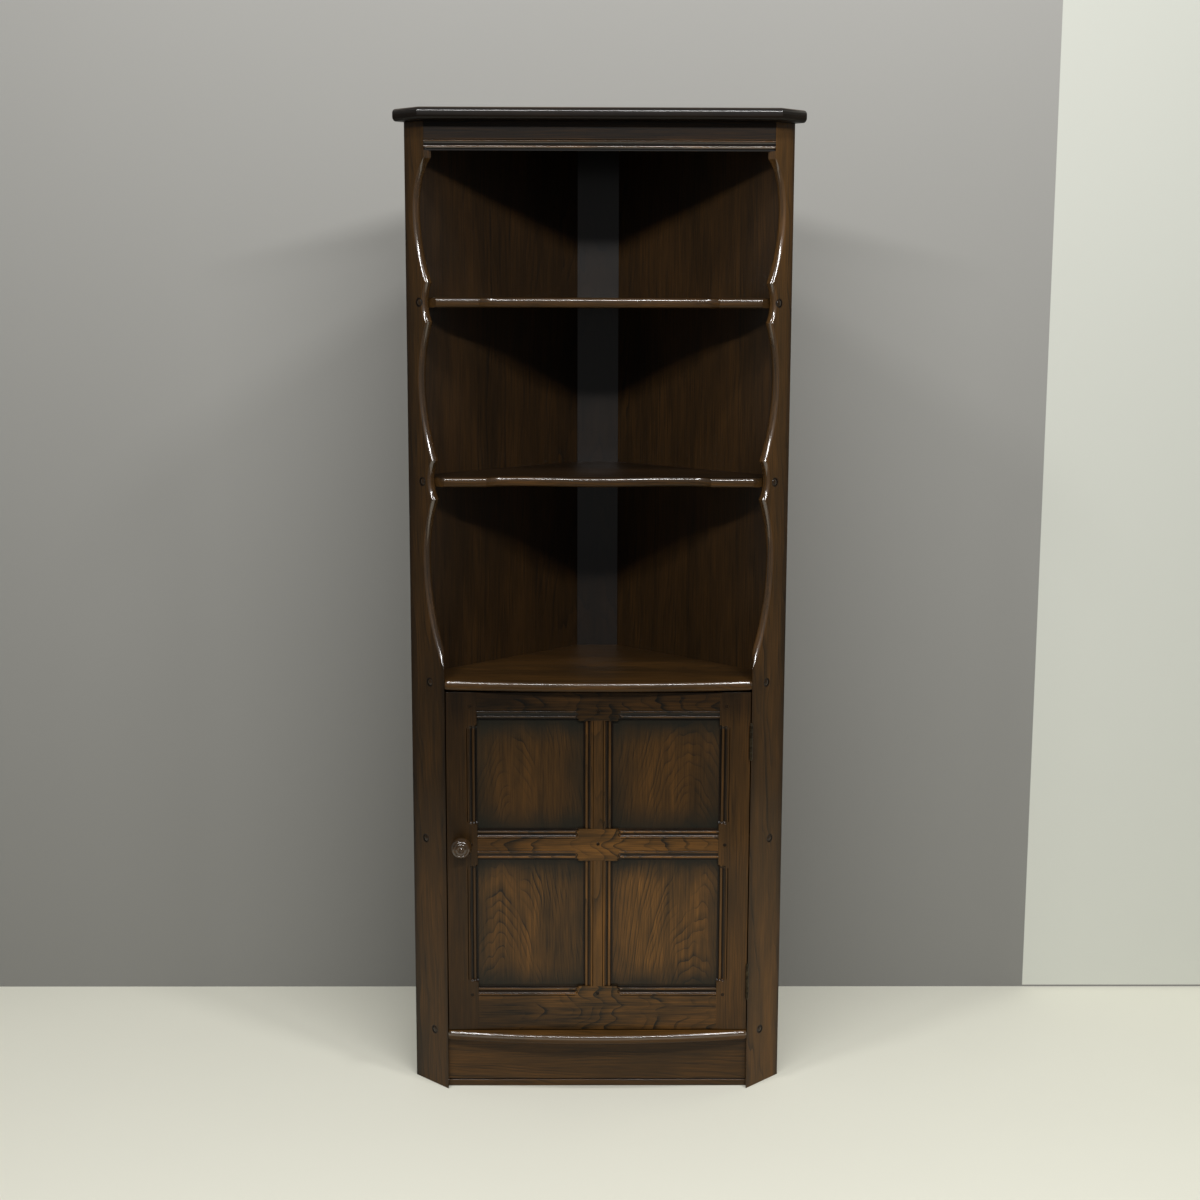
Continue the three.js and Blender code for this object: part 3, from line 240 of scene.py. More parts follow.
def worked(mesh: bpy.types.Mesh, tools: list[Shell], work: Work = Work.CUT) -> bpy.types.Mesh:
    """Cuts closed tools out of a closed mesh, or joins them to it, one after another.

    Args:
        mesh: the body.
        tools: the shells that cut it or join it.
        work: which of the two is done.

    Returns:
        The finished mesh.
    """
    body = bpy.data.objects.new("work_body", mesh)
    bpy.context.scene.collection.objects.link(body)
    helpers = []
    for tool in tools:
        helper = bpy.data.objects.new("work_tool", tool.mesh("work_tool"))
        bpy.context.scene.collection.objects.link(helper)
        helpers.append(helper)
        step = body.modifiers.new("work", "BOOLEAN")
        step.operation = work.value
        step.solver = "EXACT"
        step.object = helper
    depsgraph = bpy.context.evaluated_depsgraph_get()
    result = bpy.data.meshes.new_from_object(body.evaluated_get(depsgraph))
    for item in [body, *helpers]:
        data = item.data
        bpy.data.objects.remove(item)
        bpy.data.meshes.remove(data)
    return result


def offset_inwards(outline: np.ndarray, inset: np.ndarray) -> np.ndarray:
    """Moves each point of a closed outline inwards along the mitre of its two edges.

    The mitre is the sum of the two unit normals over one plus their dot product.

    Args:
        outline: points of shape (points, 2), in either sense.
        inset: distance for each point.

    Returns:
        The moved points.
    """
    before = outline - np.roll(outline, 1, 0)
    after = np.roll(outline, -1, 0) - outline
    area = np.sum(outline[:, 0] * after[:, 1] - outline[:, 1] * after[:, 0])
    turn = 1 if area > 0 else -1

    def normal(edge: np.ndarray) -> np.ndarray:
        """Returns the inward unit normals of edges."""
        sideways = np.stack([-edge[:, 1], edge[:, 0]], axis=-1) * turn
        return sideways / np.linalg.norm(edge, axis=1, keepdims=True)

    first, second = normal(before), normal(after)
    mitre = (first + second) / (1 + np.sum(first * second, axis=1, keepdims=True))
    return outline + mitre * np.asarray(inset)[:, None]


def quarter_round(steps: int) -> tuple[np.ndarray, np.ndarray]:
    """Returns (depth, inset) as shares of the radius, round a quarter circle from the face in."""
    angle = np.linspace(0, QUARTER, steps + 1)
    return 1 - np.cos(angle), 1 - np.sin(angle)


def mirrored(line: np.ndarray) -> np.ndarray:
    """Returns the mirror image of a plan line across x = 0, in the opposite order."""
    return (line * np.array([-1, 1]))[::-1]


def softened(points: np.ndarray, rounds: int = 2) -> np.ndarray:
    """Rounds an open line by cutting its corners at a quarter and three quarters of each edge."""
    near, far = 0.75, 0.25
    for _ in range(rounds):
        early = points[:-1] * near + points[1:] * far
        late = points[:-1] * far + points[1:] * near
        middle = np.stack([early, late], axis=1).reshape(-1, 2)
        points = np.concatenate([points[:1], middle, points[-1:]])
    return points


# Shader arithmetic


class Flow:
    """A value on its way through a node tree. Arithmetic on it adds the node for the sum."""

    def __init__(self, graph: "Graph", socket: bpy.types.NodeSocket) -> None:
        """Wraps one output socket."""
        self.graph = graph
        self.socket = socket

    def __add__(self, other: "Flow | float") -> "Flow":
        """Returns self + other."""
        return self.graph.maths("ADD", self, other)

    __radd__ = __add__

    def __sub__(self, other: "Flow | float") -> "Flow":
        """Returns self - other."""
        return self.graph.maths("SUBTRACT", self, other)

    def __rsub__(self, other: float) -> "Flow":
        """Returns other - self."""
        return self.graph.maths("SUBTRACT", other, self)

    def __mul__(self, other: "Flow | float") -> "Flow":
        """Returns self * other."""
        return self.graph.maths("MULTIPLY", self, other)

    __rmul__ = __mul__

    def __truediv__(self, other: "Flow | float") -> "Flow":
        """Returns self / other."""
        return self.graph.maths("DIVIDE", self, other)

    def __rtruediv__(self, other: float) -> "Flow":
        """Returns other / self."""
        return self.graph.maths("DIVIDE", other, self)

    def __pow__(self, other: float) -> "Flow":
        """Returns self to a power."""
        return self.graph.maths("POWER", self, other)

    def apply(self, operation: str, *others: "Flow | float") -> "Flow":
        """Returns any other Math operation on self."""
        return self.graph.maths(operation, self, *others)

    def between(self, low: float, high: float) -> "Flow":
        """Returns a smooth step from 0 at low to 1 at high."""
        node = self.graph.node(
            "ShaderNodeMapRange",
            {"interpolation_type": "SMOOTHSTEP"},
            {"Value": self, "From Min": low, "From Max": high},
        )
        return Flow(self.graph, node.outputs["Result"])


class Graph:
    """The node tree of one material."""

    def __init__(self, name: str) -> None:
        """Starts a material with an output and nothing else."""
        self.material = bpy.data.materials.new(name)
        self.material.use_nodes = True
        self.tree = self.material.node_tree
        self.tree.nodes.clear()
        self.output = self.node("ShaderNodeOutputMaterial", {}, {})

    def node(self, kind: str, settings: dict, inputs: dict) -> bpy.types.Node:
        """Adds a node.

        Args:
            kind: the node's type.
            settings: its own settings, set first; "stops" are a colour ramp's.
            inputs: a value or a flow for each named or numbered socket.

        Returns:
            The node.
        """
        node = self.tree.nodes.new(kind)
        for key, value in settings.items():
            if key == "stops":
                elements = node.color_ramp.elements
                while len(elements) < len(value):
                    elements.new(1)
                for element, (position, colour) in zip(elements, value):
                    element.position = position
                    element.color = (*colour, 1)
            else:
                setattr(node, key, value)
        for key, value in inputs.items():
            if isinstance(value, Flow):
                self.tree.links.new(value.socket, node.inputs[key])
            else:
                node.inputs[key].default_value = value
        return node

    def maths(self, operation: str, *values: "Flow | float") -> Flow:
        """Returns the result of a Math node."""
        node = self.node("ShaderNodeMath", {"operation": operation}, dict(enumerate(values)))
        return Flow(self, node.outputs[0])

    def mix(self, share: "Flow | float", first: "Flow | Colour", second: "Flow | Colour") -> Flow:
        """Returns a colour between two others."""
        ends = [end if isinstance(end, Flow) else (*end, 1) for end in (first, second)]
        inputs = {0: share, 6: ends[0], 7: ends[1]}
        node = self.node("ShaderNodeMix", {"data_type": "RGBA"}, inputs)
        return Flow(self, node.outputs[2])

    def ramp(self, value: Flow, stops: list[tuple[float, Colour]]) -> Flow:
        """Returns the colour that a value of 0 to 1 has on a ramp."""
        node = self.node("ShaderNodeValToRGB", {"stops": stops}, {"Fac": value})
        return Flow(self, node.outputs[0])

    def place(self) -> Flow:
        """Returns the place on the object, in the shared frame at rest."""
        return Flow(self, self.node("ShaderNodeTexCoord", {}, {}).outputs["Object"])

    def vector(self, operation: str, inputs: dict, output: "int | str" = 0) -> Flow:
        """Returns an output of a Vector Math node."""
        node = self.node("ShaderNodeVectorMath", {"operation": operation}, inputs)
        return Flow(self, node.outputs[output])

    def along(self, place: Flow, axis: tuple[float, float, float]) -> Flow:
        """Returns how far a place lies along an axis through the origin."""
        return self.vector("DOT_PRODUCT", {0: place, 1: axis}, "Value")

    def scaled(self, colour: Flow, share: Flow) -> Flow:
        """Returns a colour times a share."""
        return self.vector("SCALE", {0: colour, "Scale": share})

    def through(self, value: Flow, stops: tuple[tuple[float, float], ...]) -> Flow:
        """Returns what passes smoothly through each stop's share as the value passes its place."""
        share = stops[0][1]
        for (before, reached), (place, target) in zip(stops, stops[1:]):
            share = value.between(before, place) * (target - reached) + share
        return share

    def noise(self, place: Flow, scale: float, detail: float = 2, rough: float = 0.5) -> Flow:
        """Returns a noise value of about 0 to 1 at a place."""
        node = self.node(
            "ShaderNodeTexNoise",
            {},
            {"Vector": place, "Scale": scale, "Detail": detail, "Roughness": rough},
        )
        return Flow(self, node.outputs[0])

    def stretched(self, place: Flow, scales: tuple[float, float, float]) -> Flow:
        """Returns a place scaled on each axis."""
        return self.vector("MULTIPLY", {0: place, 1: scales})

    def surface(self, inputs: dict) -> bpy.types.Material:
        """Ends the material with a Principled surface and returns it."""
        shader = self.node("ShaderNodeBsdfPrincipled", {}, inputs)
        self.tree.links.new(shader.outputs[0], self.output.inputs["Surface"])
        return self.material

    def bump(self, height: Flow, distance: float, strength: float) -> Flow:
        """Returns a normal tilted by a height."""
        node = self.node(
            "ShaderNodeBump", {}, {"Height": height, "Distance": distance, "Strength": strength}
        )
        return Flow(self, node.outputs[0])


def swayed(
    middle: float, noises: dict[str, Flow], shares: dict[str, float], strength: float = 1.0
) -> Flow:
    """Moves a value by how far each noise is from its own middle.

    Args:
        middle: the value where every noise is at its middle.
        noises: the noises by name.
        shares: what each of them counts for.
        strength: what all of them are multiplied by.

    Returns:
        The moved value.
    """
    total = middle
    for name, share in shares.items():
        total = total + (noises[name] - 0.5) * (share * strength)
    return total


# Finishes


@dataclass(frozen=True)
class Timber:
    """The place of a board in its log.

    The rings are cylinders about the heart of the log. Where the board leans against the heart,
    they show on its face as nested peaks.
    """

    lie: Lie
    heart_across: float = 0.01
    heart_depth: float = 0.05
    lean: float = 0.05
    seed: float = 0.0


@dataclass(frozen=True)
class Shade:
    """Where a board's stain lies darker and painted shade falls: within a reach of the edges of a
    rectangle on its face.
    """

    low: tuple[float, float]
    high: tuple[float, float]
    reach: float = 0.054
    # Stain and painted shade: the top edge, under the rail in front of the sunk panel, darkens
    # most.
    side_strength: float = 0.6
    bottom_strength: float = 0.88
    top_strength: float = 1.0
    waver_scale: float = 22.0
    waver_share: float = 0.6
    outside_share: float = 0.125

    def share(self, graph: Graph, place: Flow) -> Flow:
        """Returns how dark the stain and painted shade lie, from the distances to the rectangle's
        sides.

        Each side's darkening falls off as a smooth step, and what is left of the light after all
        four is their product. A slow noise makes the line waver.
        """
        x = graph.along(place, (1, 0, 0))
        z = graph.along(place, (0, 0, 1))
        noise = graph.noise(place, self.waver_scale, detail=3)
        waver = (noise - 0.5) * (self.reach * self.waver_share)
        outside = self.reach * self.outside_share
        light = 1.0
        for distance, strength in (
            (x - self.low[0], self.side_strength),
            (self.high[0] - x, self.side_strength),
            (z - self.low[1], self.bottom_strength),
            (self.high[1] - z, self.top_strength),
        ):
            dark = 1 - (distance + waver).between(-outside, self.reach)
            light = (1 - dark * strength) * light
        return 1 - light


@dataclass(frozen=True)
class Wash:
    """How the colour of a set of boards changes along an axis, as (place, share) stops."""

    axis: tuple[float, float, float]
    stops: tuple[tuple[float, float], ...]

    def share(self, graph: Graph, place: Flow) -> Flow:
        """Returns the share of a board's own colour at a place."""
        return graph.through(graph.along(place, self.axis), self.stops)


@dataclass(frozen=True)
class Spot:
    """A round place where the colour is darkened."""

    centre: tuple[float, float, float]
    radius: float
    darkness: float = 0.9
    full_share: float = 0.92
    end_share: float = 1.2

    def share(self, graph: Graph, place: Flow) -> Flow:
        """Returns the share of the colour that is left at a place."""
        distance = graph.vector("DISTANCE", {0: place, 1: self.centre}, "Value")
        clean = distance.between(self.radius * self.full_share, self.radius * self.end_share)
        return 1 - (1 - clean) * self.darkness


@dataclass(frozen=True)
class Face:
    """The two flat faces of a board, by the axis that runs into it from the first one."""

    axis: tuple[float, float, float]
    start: float
    thickness: float
    is_moulded: bool = False
    dull_share: float = 0.0

    def depth(self, graph: Graph, place: Flow) -> Flow:
        """Returns how deep a place lies behind the first face."""
        return graph.along(place, self.axis) - self.start

    def polish(self, depth: Flow) -> Flow:
        """Returns 1 on the worked edges between the two faces, where the lacquer is burnished.

        The dull share of the thickness, next to the first face, is left as it is.
        """
        near, far = 0.0002, 0.0012
        first = depth - self.dull_share * self.thickness
        return first.between(near, far) * (self.thickness - depth).between(near, far)


# What the colour is multiplied by at each depth of the moulding: the stain gathers in the quirk, in
# the cove and on the fillet, darkened also as painted shade in those hollows, and the reed and the
# bead are lightened past the wood's own colour, as rubbed stain and as a painted highlight.
STAIN_AND_LIGHT_DEPTHS = (
    (0.0001, 1.0),
    (0.0003, 1.3),
    (0.0006, 0.7),
    (0.0011, 0.15),
    (0.0018, 0.2),
    (0.0023, 1.35),
    (0.0027, 0.9),
    (0.0035, 0.15),
    (0.0066, 0.12),
    (0.0078, 0.6),
)


# The noises of the wood: how fast each one changes per metre along the grain and across it, its
# detail and its roughness.
NOISES = {
    "slow": (1.4, 5, 2, 0.5),
    "wobble": (5, 22, 2, 0.5),
    "cloud": (2.6, 13, 3, 0.5),
    "patches": (9, 30, 3, 0.5),
    "fibre": (12, 330, 4, 0.62),
    "streak": (8, 90, 3, 0.6),
    "fine": (34, 1500, 2, 0.6),
    "waves": (6, 50, 2, 0.5),
}
SEED_SHARES = (1.0, 0.7, 0.4)

# The rings: how far they stray from a cylinder slowly and in short waves, and how fast good years
# and lean ones follow one another and by how many rings they shift them.
RING_DRIFT = 0.05
RING_WOBBLE = 0.02
YEARS_SCALE = 85.0
YEARS_SHIFT = 2.5
PATCH_EDGES = (0.36, 0.6)
YEARS_EDGES = (0.3, 0.62)
PORE_EDGES = (0.56, 0.74)

# How many of the pores there are between the porous lines.
SPARSE_PORES = 0.3

# What each noise, the pores and the porous lines count for in the tone, in the roughness and in
# the height of the surface.
MIDDLE_TONE = 0.56
TONE_SHARES = {"fibre": 0.85, "streak": 0.45, "cloud": 0.8, "patches": 0.6}
RING_TONE, PORE_TONE = 0.55, 0.6
ROUGHNESS_SHARES = {"fibre": 0.16, "cloud": 0.12}
PORE_ROUGHNESS = 0.12
FIBRE_HEIGHT, WAVE_HEIGHT, PORE_HEIGHT, RING_HEIGHT = 0.12, 0.9, 0.35, 0.12


@dataclass(frozen=True)
class WoodFinish:
    """A stained and lacquered hardwood with open grain.

    The three colours are those of the darkest lines, of the body of the wood and of its lightest
    streaks.
    """

    slot: Slot
    dark: Colour
    middle: Colour
    light: Colour
    ring_spacing: float = 0.0048
    contrast: float = 1.0
    roughness: float = 0.45
    specular: float = 0.12
    coat: float = 0.08
    coat_ior: float = 1.85
    coat_roughness: float = 0.14
    edge_coat: float = 0.9
    ripple: float = 0.4

    def material(
        self,
        name: str,
        timber: Timber,
        face: Face | None = None,
        shade: Shade | None = None,
        changes: "tuple[Wash | Spot, ...]" = (),
    ) -> bpy.types.Material:
        """Makes the material of one board.

        The ring number is the distance from the log's heart, with a slow wobble and a short one,
        over the ring spacing, and a noise along that distance makes good years and lean ones. Each
        ring starts with a dark porous line and pales until the next, and the rings show in some
        places more than in others. Fibres and pores are noises stretched along the grain.

        Args:
            name: the board's name.
            timber: how the board lies in its log.
            face: its two flat faces, if its edges are burnished.
            shade: where the stain lies darker and painted shade falls, if anywhere.
            changes: what else takes a share of the colour, painted light and shade among them.

        Returns:
            The material.
        """
        graph = Graph(f"{self.slot.value}.{name}")
        place = graph.place()
        along, across = (Vector(axis) for axis in timber.lie.value)
        axes = (along, across, along.cross(across))
        ways = [graph.along(place, tuple(axis)) for axis in axes]
        moved = [way + timber.seed * share for way, share in zip(ways, SEED_SHARES)]
        joined = graph.node("ShaderNodeCombineXYZ", {}, dict(enumerate(moved)))
        grain = Flow(graph, joined.outputs[0])
        noises = {
            key: graph.noise(graph.stretched(grain, (by_length, by_width, by_width)), 1.0, *kind)
            for key, (by_length, by_width, *kind) in NOISES.items()
        }

        length, width, depth = ways
        leaning = depth + timber.heart_depth + timber.lean * length
        sideways = width + timber.heart_across + (noises["slow"] - 0.5) * RING_DRIFT
        distance = (leaning * leaning + sideways * sideways) ** 0.5
        heart = distance + (noises["wobble"] - 0.5) * RING_WOBBLE
        years = graph.noise(heart, YEARS_SCALE)
        ring = 1 - (heart / self.ring_spacing + years * YEARS_SHIFT).apply("FRACT")
        shown = noises["patches"].between(*PATCH_EDGES)
        porous = ring ** 4 * shown * years.between(*YEARS_EDGES)
        dense = SPARSE_PORES + (1 - SPARSE_PORES) * porous
        pores = noises["fine"].between(*PORE_EDGES) * dense

        tone = swayed(MIDDLE_TONE, noises, TONE_SHARES, self.contrast)
        tone = tone - porous * (RING_TONE * self.contrast)
        tone = tone.apply("MAXIMUM", 0.0).apply("MINIMUM", 1.0)
        stops = [(0.0, self.dark), (0.5, self.middle), (1.0, self.light)]
        colour = graph.mix(pores * PORE_TONE, graph.ramp(tone, stops), self.dark)
        # Painted shade, with the darker stain, near the edges of a sunk panel.
        if shade is not None:
            colour = graph.mix(shade.share(graph, place), colour, EDGE_STAIN_AND_SHADE)

        rough = swayed(self.roughness, noises, ROUGHNESS_SHARES) + pores * PORE_ROUGHNESS
        height = noises["fibre"] * FIBRE_HEIGHT + noises["waves"] * (WAVE_HEIGHT * self.ripple)
        height = height - pores * PORE_HEIGHT - porous * RING_HEIGHT
        coat = self.coat
        if face is not None:
            behind = face.depth(graph, place)
            polish = face.polish(behind)
            height = height * (1 - polish * self.edge_coat)
            coat = self.coat + polish * (self.edge_coat - self.coat)
            # Painted shade in the moulding's hollows and painted light on its reed and bead, with
            # the stain.
            if face.is_moulded:
                colour = graph.scaled(colour, graph.through(behind, STAIN_AND_LIGHT_DEPTHS))
        # The changes scale the colour, painted light and shade among them.
        for change in changes:
            colour = graph.scaled(colour, change.share(graph, place))
        return graph.surface(
            {
                "Base Color": colour,
                "Roughness": rough,
                "Specular IOR Level": self.specular,
                "Coat Weight": coat,
                "Coat IOR": self.coat_ior,
                "Coat Roughness": self.coat_roughness,
                "Normal": graph.bump(height, distance=0.0005, strength=0.5),
            }
        )


@dataclass(frozen=True)
class MetalFinish:
    """A metal with a worn, slightly uneven surface."""

    slot: Slot
    bright: Colour
    tarnish: Colour
    roughness: float
    patch_scale: float = 160
    patch_edges: tuple[float, float] = (0.35, 0.65)
    patch_roughness: float = 0.3
    scratch_scales: tuple[float, float, float] = (900, 900, 120)
    scratch_roughness: float = 0.12

    def material(self, name: str) -> bpy.types.Material:
        """Makes the metal, its tarnish and roughness following one noise."""
        graph = Graph(f"{self.slot.value}.{name}")
        place = graph.place()
        patches = graph.noise(place, self.patch_scale, detail=4, rough=0.6)
        scratches = graph.noise(graph.stretched(place, self.scratch_scales), 1.0)
        colour = graph.mix(patches.between(*self.patch_edges), self.bright, self.tarnish)
        noises = {"patches": patches, "scratches": scratches}
        shares = {"patches": self.patch_roughness, "scratches": self.scratch_roughness}
        roughness = swayed(self.roughness, noises, shares)
        return graph.surface(
            {
                "Base Color": colour,
                "Roughness": roughness,
                "Metallic": 1.0,
                "Normal": graph.bump(scratches, distance=0.0002, strength=0.2),
            }
        )


@dataclass(frozen=True)
class PlasticFinish:
    """A moulded plastic with a fine texture."""

    slot: Slot
    colour: Colour
    worn: Colour
    roughness: float
    grain_scale: float = 2500
    patch_scale: float = 90
    patch_edges: tuple[float, float] = (0.4, 0.7)
    patch_roughness: float = 0.2

    def material(self, name: str) -> bpy.types.Material:
        """Makes the plastic, with a fine grain on its surface."""
        graph = Graph(f"{self.slot.value}.{name}")
        place = graph.place()
        grain = graph.noise(place, self.grain_scale)
        patches = graph.noise(place, self.patch_scale, detail=3)
        worn = patches.between(*self.patch_edges)
        return graph.surface(
            {
                "Base Color": graph.mix(worn, self.colour, self.worn),
                "Roughness": self.roughness + (patches - 0.5) * self.patch_roughness,
                "Normal": graph.bump(grain, distance=0.0001, strength=0.4),
            }
        )


# The colour that the edge stain and the painted shade darken a panel towards.
EDGE_STAIN_AND_SHADE: Colour = (0.0085, 0.0083, 0.0055)
DARK_STAIN: Colour = (0.2, 0.145, 0.075)
BODY_STAIN: Colour = (1.0, 0.48, 0.125)
LIGHT_STAIN: Colour = (2.1, 0.92, 0.19)


def wood(slot: Slot, strength: float, **changes: float) -> WoodFinish:
    """Returns the lacquered hardwood, its body sending back a given share of red light."""
    stains = (DARK_STAIN, BODY_STAIN, LIGHT_STAIN)
    colours = [tuple(value * strength for value in stain) for stain in stains]
    return WoodFinish(slot, *colours, **changes)


# How much red light each board of the case and the door sends back. The boards took the stain
# unevenly, as boards of one order from several planks do. The strengths also hold painted light and
# shade: the door's lower boards are lighter, for the light that falls low down, and the corner back
# board is darker, for the shade at the back of the bays.
STRENGTHS = {
    "left_side_board": 0.028,
    "right_side_board": 0.040,
    "top_board": 0.026,
    "upper_shelf": 0.036,
    "middle_shelf": 0.036,
    "inner_shelf": 0.03,
    "waist_shelf": 0.044,
    "base_board": 0.040,
    "frieze_rail": 0.032,
    "plinth_board": 0.048,
    "left_back_panel": 0.0165,
    "right_back_panel": 0.0225,
    "corner_back_board": 0.005,
    "door_left_stile": 0.05,
    "door_right_stile": 0.05,
    "door_top_rail": 0.05,
    "door_middle_rail": 0.054,
    "door_bottom_rail": 0.064,
    "door_upper_muntin": 0.042,
    "door_lower_muntin": 0.053,
    "door_upper_left_panel": 0.036,
    "door_upper_right_panel": 0.037,
    "door_lower_left_panel": 0.066,
    "door_lower_right_panel": 0.071,
    "door_knob": 0.028,
}
# Painted light on the side boards: lighter near the floor, where its light comes up, darker in the
# middle, a little lighter near the top.
SIDE_PAINTED_LIGHT = (Wash((0, 0, 1), ((0.1, 1.5), (0.75, 0.92), (1.1, 0.88), (1.6, 1.12))),)
# Painted light and shade on the door's frame: lighter low down and in the middle, darker towards
# the left and at the top, where the waist shelf shades it.
DOOR_PAINTED_LIGHT = (
    Wash(
        (0, 0, 1),
        ((0.12, 0.95), (0.24, 1.2), (0.42, 1.15), (0.54, 0.95), (0.7, 0.75), (0.76, 0.4)),
    ),
    Wash((1, 0, 0), ((-0.27, 0.45), (-0.23, 0.55), (0.0, 1.05), (0.21, 0.85), (0.27, 0.76))),
)
PANEL_CONTRASTS = {"upper": 1.15, "lower": 1.35}
PEG_STRENGTH = 0.009
PEG_FINISH = wood(Slot.PLUG, PEG_STRENGTH, ring_spacing=0.002)
PLUG_FINISH = wood(Slot.PLUG, 2 * PEG_STRENGTH, ring_spacing=0.002, coat=0.25)
BLOCK_FINISH = WoodFinish(
    Slot.BLOCK,
    (0.09, 0.052, 0.026),
    (0.19, 0.115, 0.06),
    (0.29, 0.19, 0.1),
    roughness=0.7,
    coat=0.0,
    contrast=0.6,
)
BRASS_FINISH = MetalFinish(Slot.BRASS, (0.075, 0.058, 0.036), (0.018, 0.014, 0.01), 0.36)
STEEL_FINISH = MetalFinish(Slot.STEEL, (0.55, 0.55, 0.53), (0.34, 0.33, 0.31), 0.3)
PLASTIC_FINISH = PlasticFinish(Slot.PLASTIC, (0.022, 0.014, 0.009), (0.035, 0.024, 0.016), 0.42)


# The bench, where pieces are finished and put on their body


class Bench:
    """Turns meshes into finished pieces of the cupboard."""

    def __init__(self) -> None:
        """Starts with no piece made."""
        self.made: list[bpy.types.Object] = []

    def piece(
        self,
        name: str,
        mesh: bpy.types.Mesh,
        body: Body,
        material: bpy.types.Material,
        stands_for: tuple[str, ...],
        arris: float = 0.0,
    ) -> None:
        """Finishes one piece.

        Args:
            name: the piece's name.
            mesh: its closed mesh, in place.
            body: the body it moves with.
            material: its finish.
            stands_for: the nodes it replaces.
            arris: width of a small round on its sharp edges, or zero.
        """
        mesh.name = name
        mesh.materials.clear()
        mesh.materials.append(material)
        mesh.shade_smooth()
        mesh.set_sharp_from_angle(angle=SMOOTH_ANGLE)
        item = bpy.data.objects.new(name, mesh)
        bpy.context.scene.collection.objects.link(item)
        if arris:
            rounding = item.modifiers.new("arris", "BEVEL")
            rounding.width = arris
            rounding.segments = ARRIS_SEGMENTS
            rounding.limit_method = "ANGLE"
            rounding.angle_limit = ARRIS_ANGLE
            rounding.harden_normals = True
        even = item.modifiers.new("even_normals", "WEIGHTED_NORMAL")
        even.keep_sharp = True
        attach(item, body.value)
        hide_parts(*stands_for)
        self.made.append(item)
        log.info("%s: %d faces on %s", name, len(mesh.polygons), body.value)

    def wooden(
        self,
        name: str,
        mesh: bpy.types.Mesh,
        body: Body,
        finish: WoodFinish,
        timber: Timber,
        arris: float = 0.0,
        **looks: "Face | Shade | tuple[Wash | Spot, ...]",
    ) -> None:
        """Finishes one piece of wood, which stands for the node of its own name.

        Args:
            name: the piece's name.
            mesh: its closed mesh, in place.
            body: the body it moves with.
            finish: its wood.
            timber: how it lies in its log.
            arris: width of a small round on its sharp edges, or zero.
            looks: the face, the shade and the changes of its material, as far as it has them.
        """
        material = finish.material(name, timber, **looks)
        self.piece(name, mesh, body, material, (name,), arris)

    def dress(self, node: str, material: bpy.types.Material) -> None:
        """Gives a node of the frame a finish in place of its plain one."""
        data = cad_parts[node].data
        data.materials.clear()
        data.materials.append(material)
        log.info("%s: dressed", node)


# The plan of the case


def levels(node: str) -> tuple[float, float]:
    """Returns the heights of a node's foot and top."""
    low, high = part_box(node)
    return low.z, high.z


@dataclass(frozen=True)
class Plan:
    """Sizes that several pieces share."""

    doorway_width: float = 0.570
    side_board_width: float = 0.095
    side_board_thickness: float = 0.018
    back_inset: float = 0.006
    back_thickness: float = 0.007
    rebate_depth: float = 0.008
    corner_board_width: float = 0.083
    corner_board_thickness: float = 0.015
    neck_width: float = 0.054
    frieze_setback: float = 0.001
    door_gap: float = 0.002

    @property
    def shift(self) -> float:
        """Part y of the door's front face."""
        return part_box("door_left_stile")[0].y

    @property
    def half_doorway(self) -> float:
        """X of the doorway's right-hand edge."""
        return self.doorway_width / 2

    @property
    def frieze_front(self) -> float:
        """Plan y of the frieze rail's front face."""
        return self.wall_end_y - self.neck_width / DIAGONAL + self.frieze_setback

    @property
    def wall_end_x(self) -> float:
        """X of a side board's wall edge."""
        return self.half_doorway + self.side_board_width / DIAGONAL

    @property
    def wall_end_y(self) -> float:
        """Plan y of a side board's wall edge."""
        return self.side_board_width / DIAGONAL

    @property
    def wall_line(self) -> float:
        """Value of |x| + y along a wall."""
        return self.wall_end_x + self.wall_end_y

    @property
    def board_back_line(self) -> float:
        """Value of |x| - y along the inner face of a side board."""
        return self.half_doorway - self.side_board_thickness * DIAGONAL

    @property
    def panel_front_line(self) -> float:
        """Value of |x| + y along the front face of a back panel."""
        return self.wall_line - (self.back_inset + self.back_thickness) * DIAGONAL

    @property
    def corner_front(self) -> float:
        """Plan y of the corner board's front face."""
        return self.panel_front_line - self.corner_board_width / 2

    @property
    def corner_back(self) -> float:
        """Plan y of the corner board's rear face."""
        return self.corner_front + self.corner_board_thickness

    def side_frame(self, side: Side) -> Matrix:
        """Returns the frame of a side board: x from the wall, y through the board, z up."""
        sign = side.value
        return Matrix(
            (
                (-sign * SLANT, -sign * SLANT, 0, sign * self.wall_end_x),
                (-SLANT, SLANT, 0, self.wall_end_y + self.shift),
                (0, 0, 1, 0),
                (0, 0, 0, 1),
            )
        )


# The case


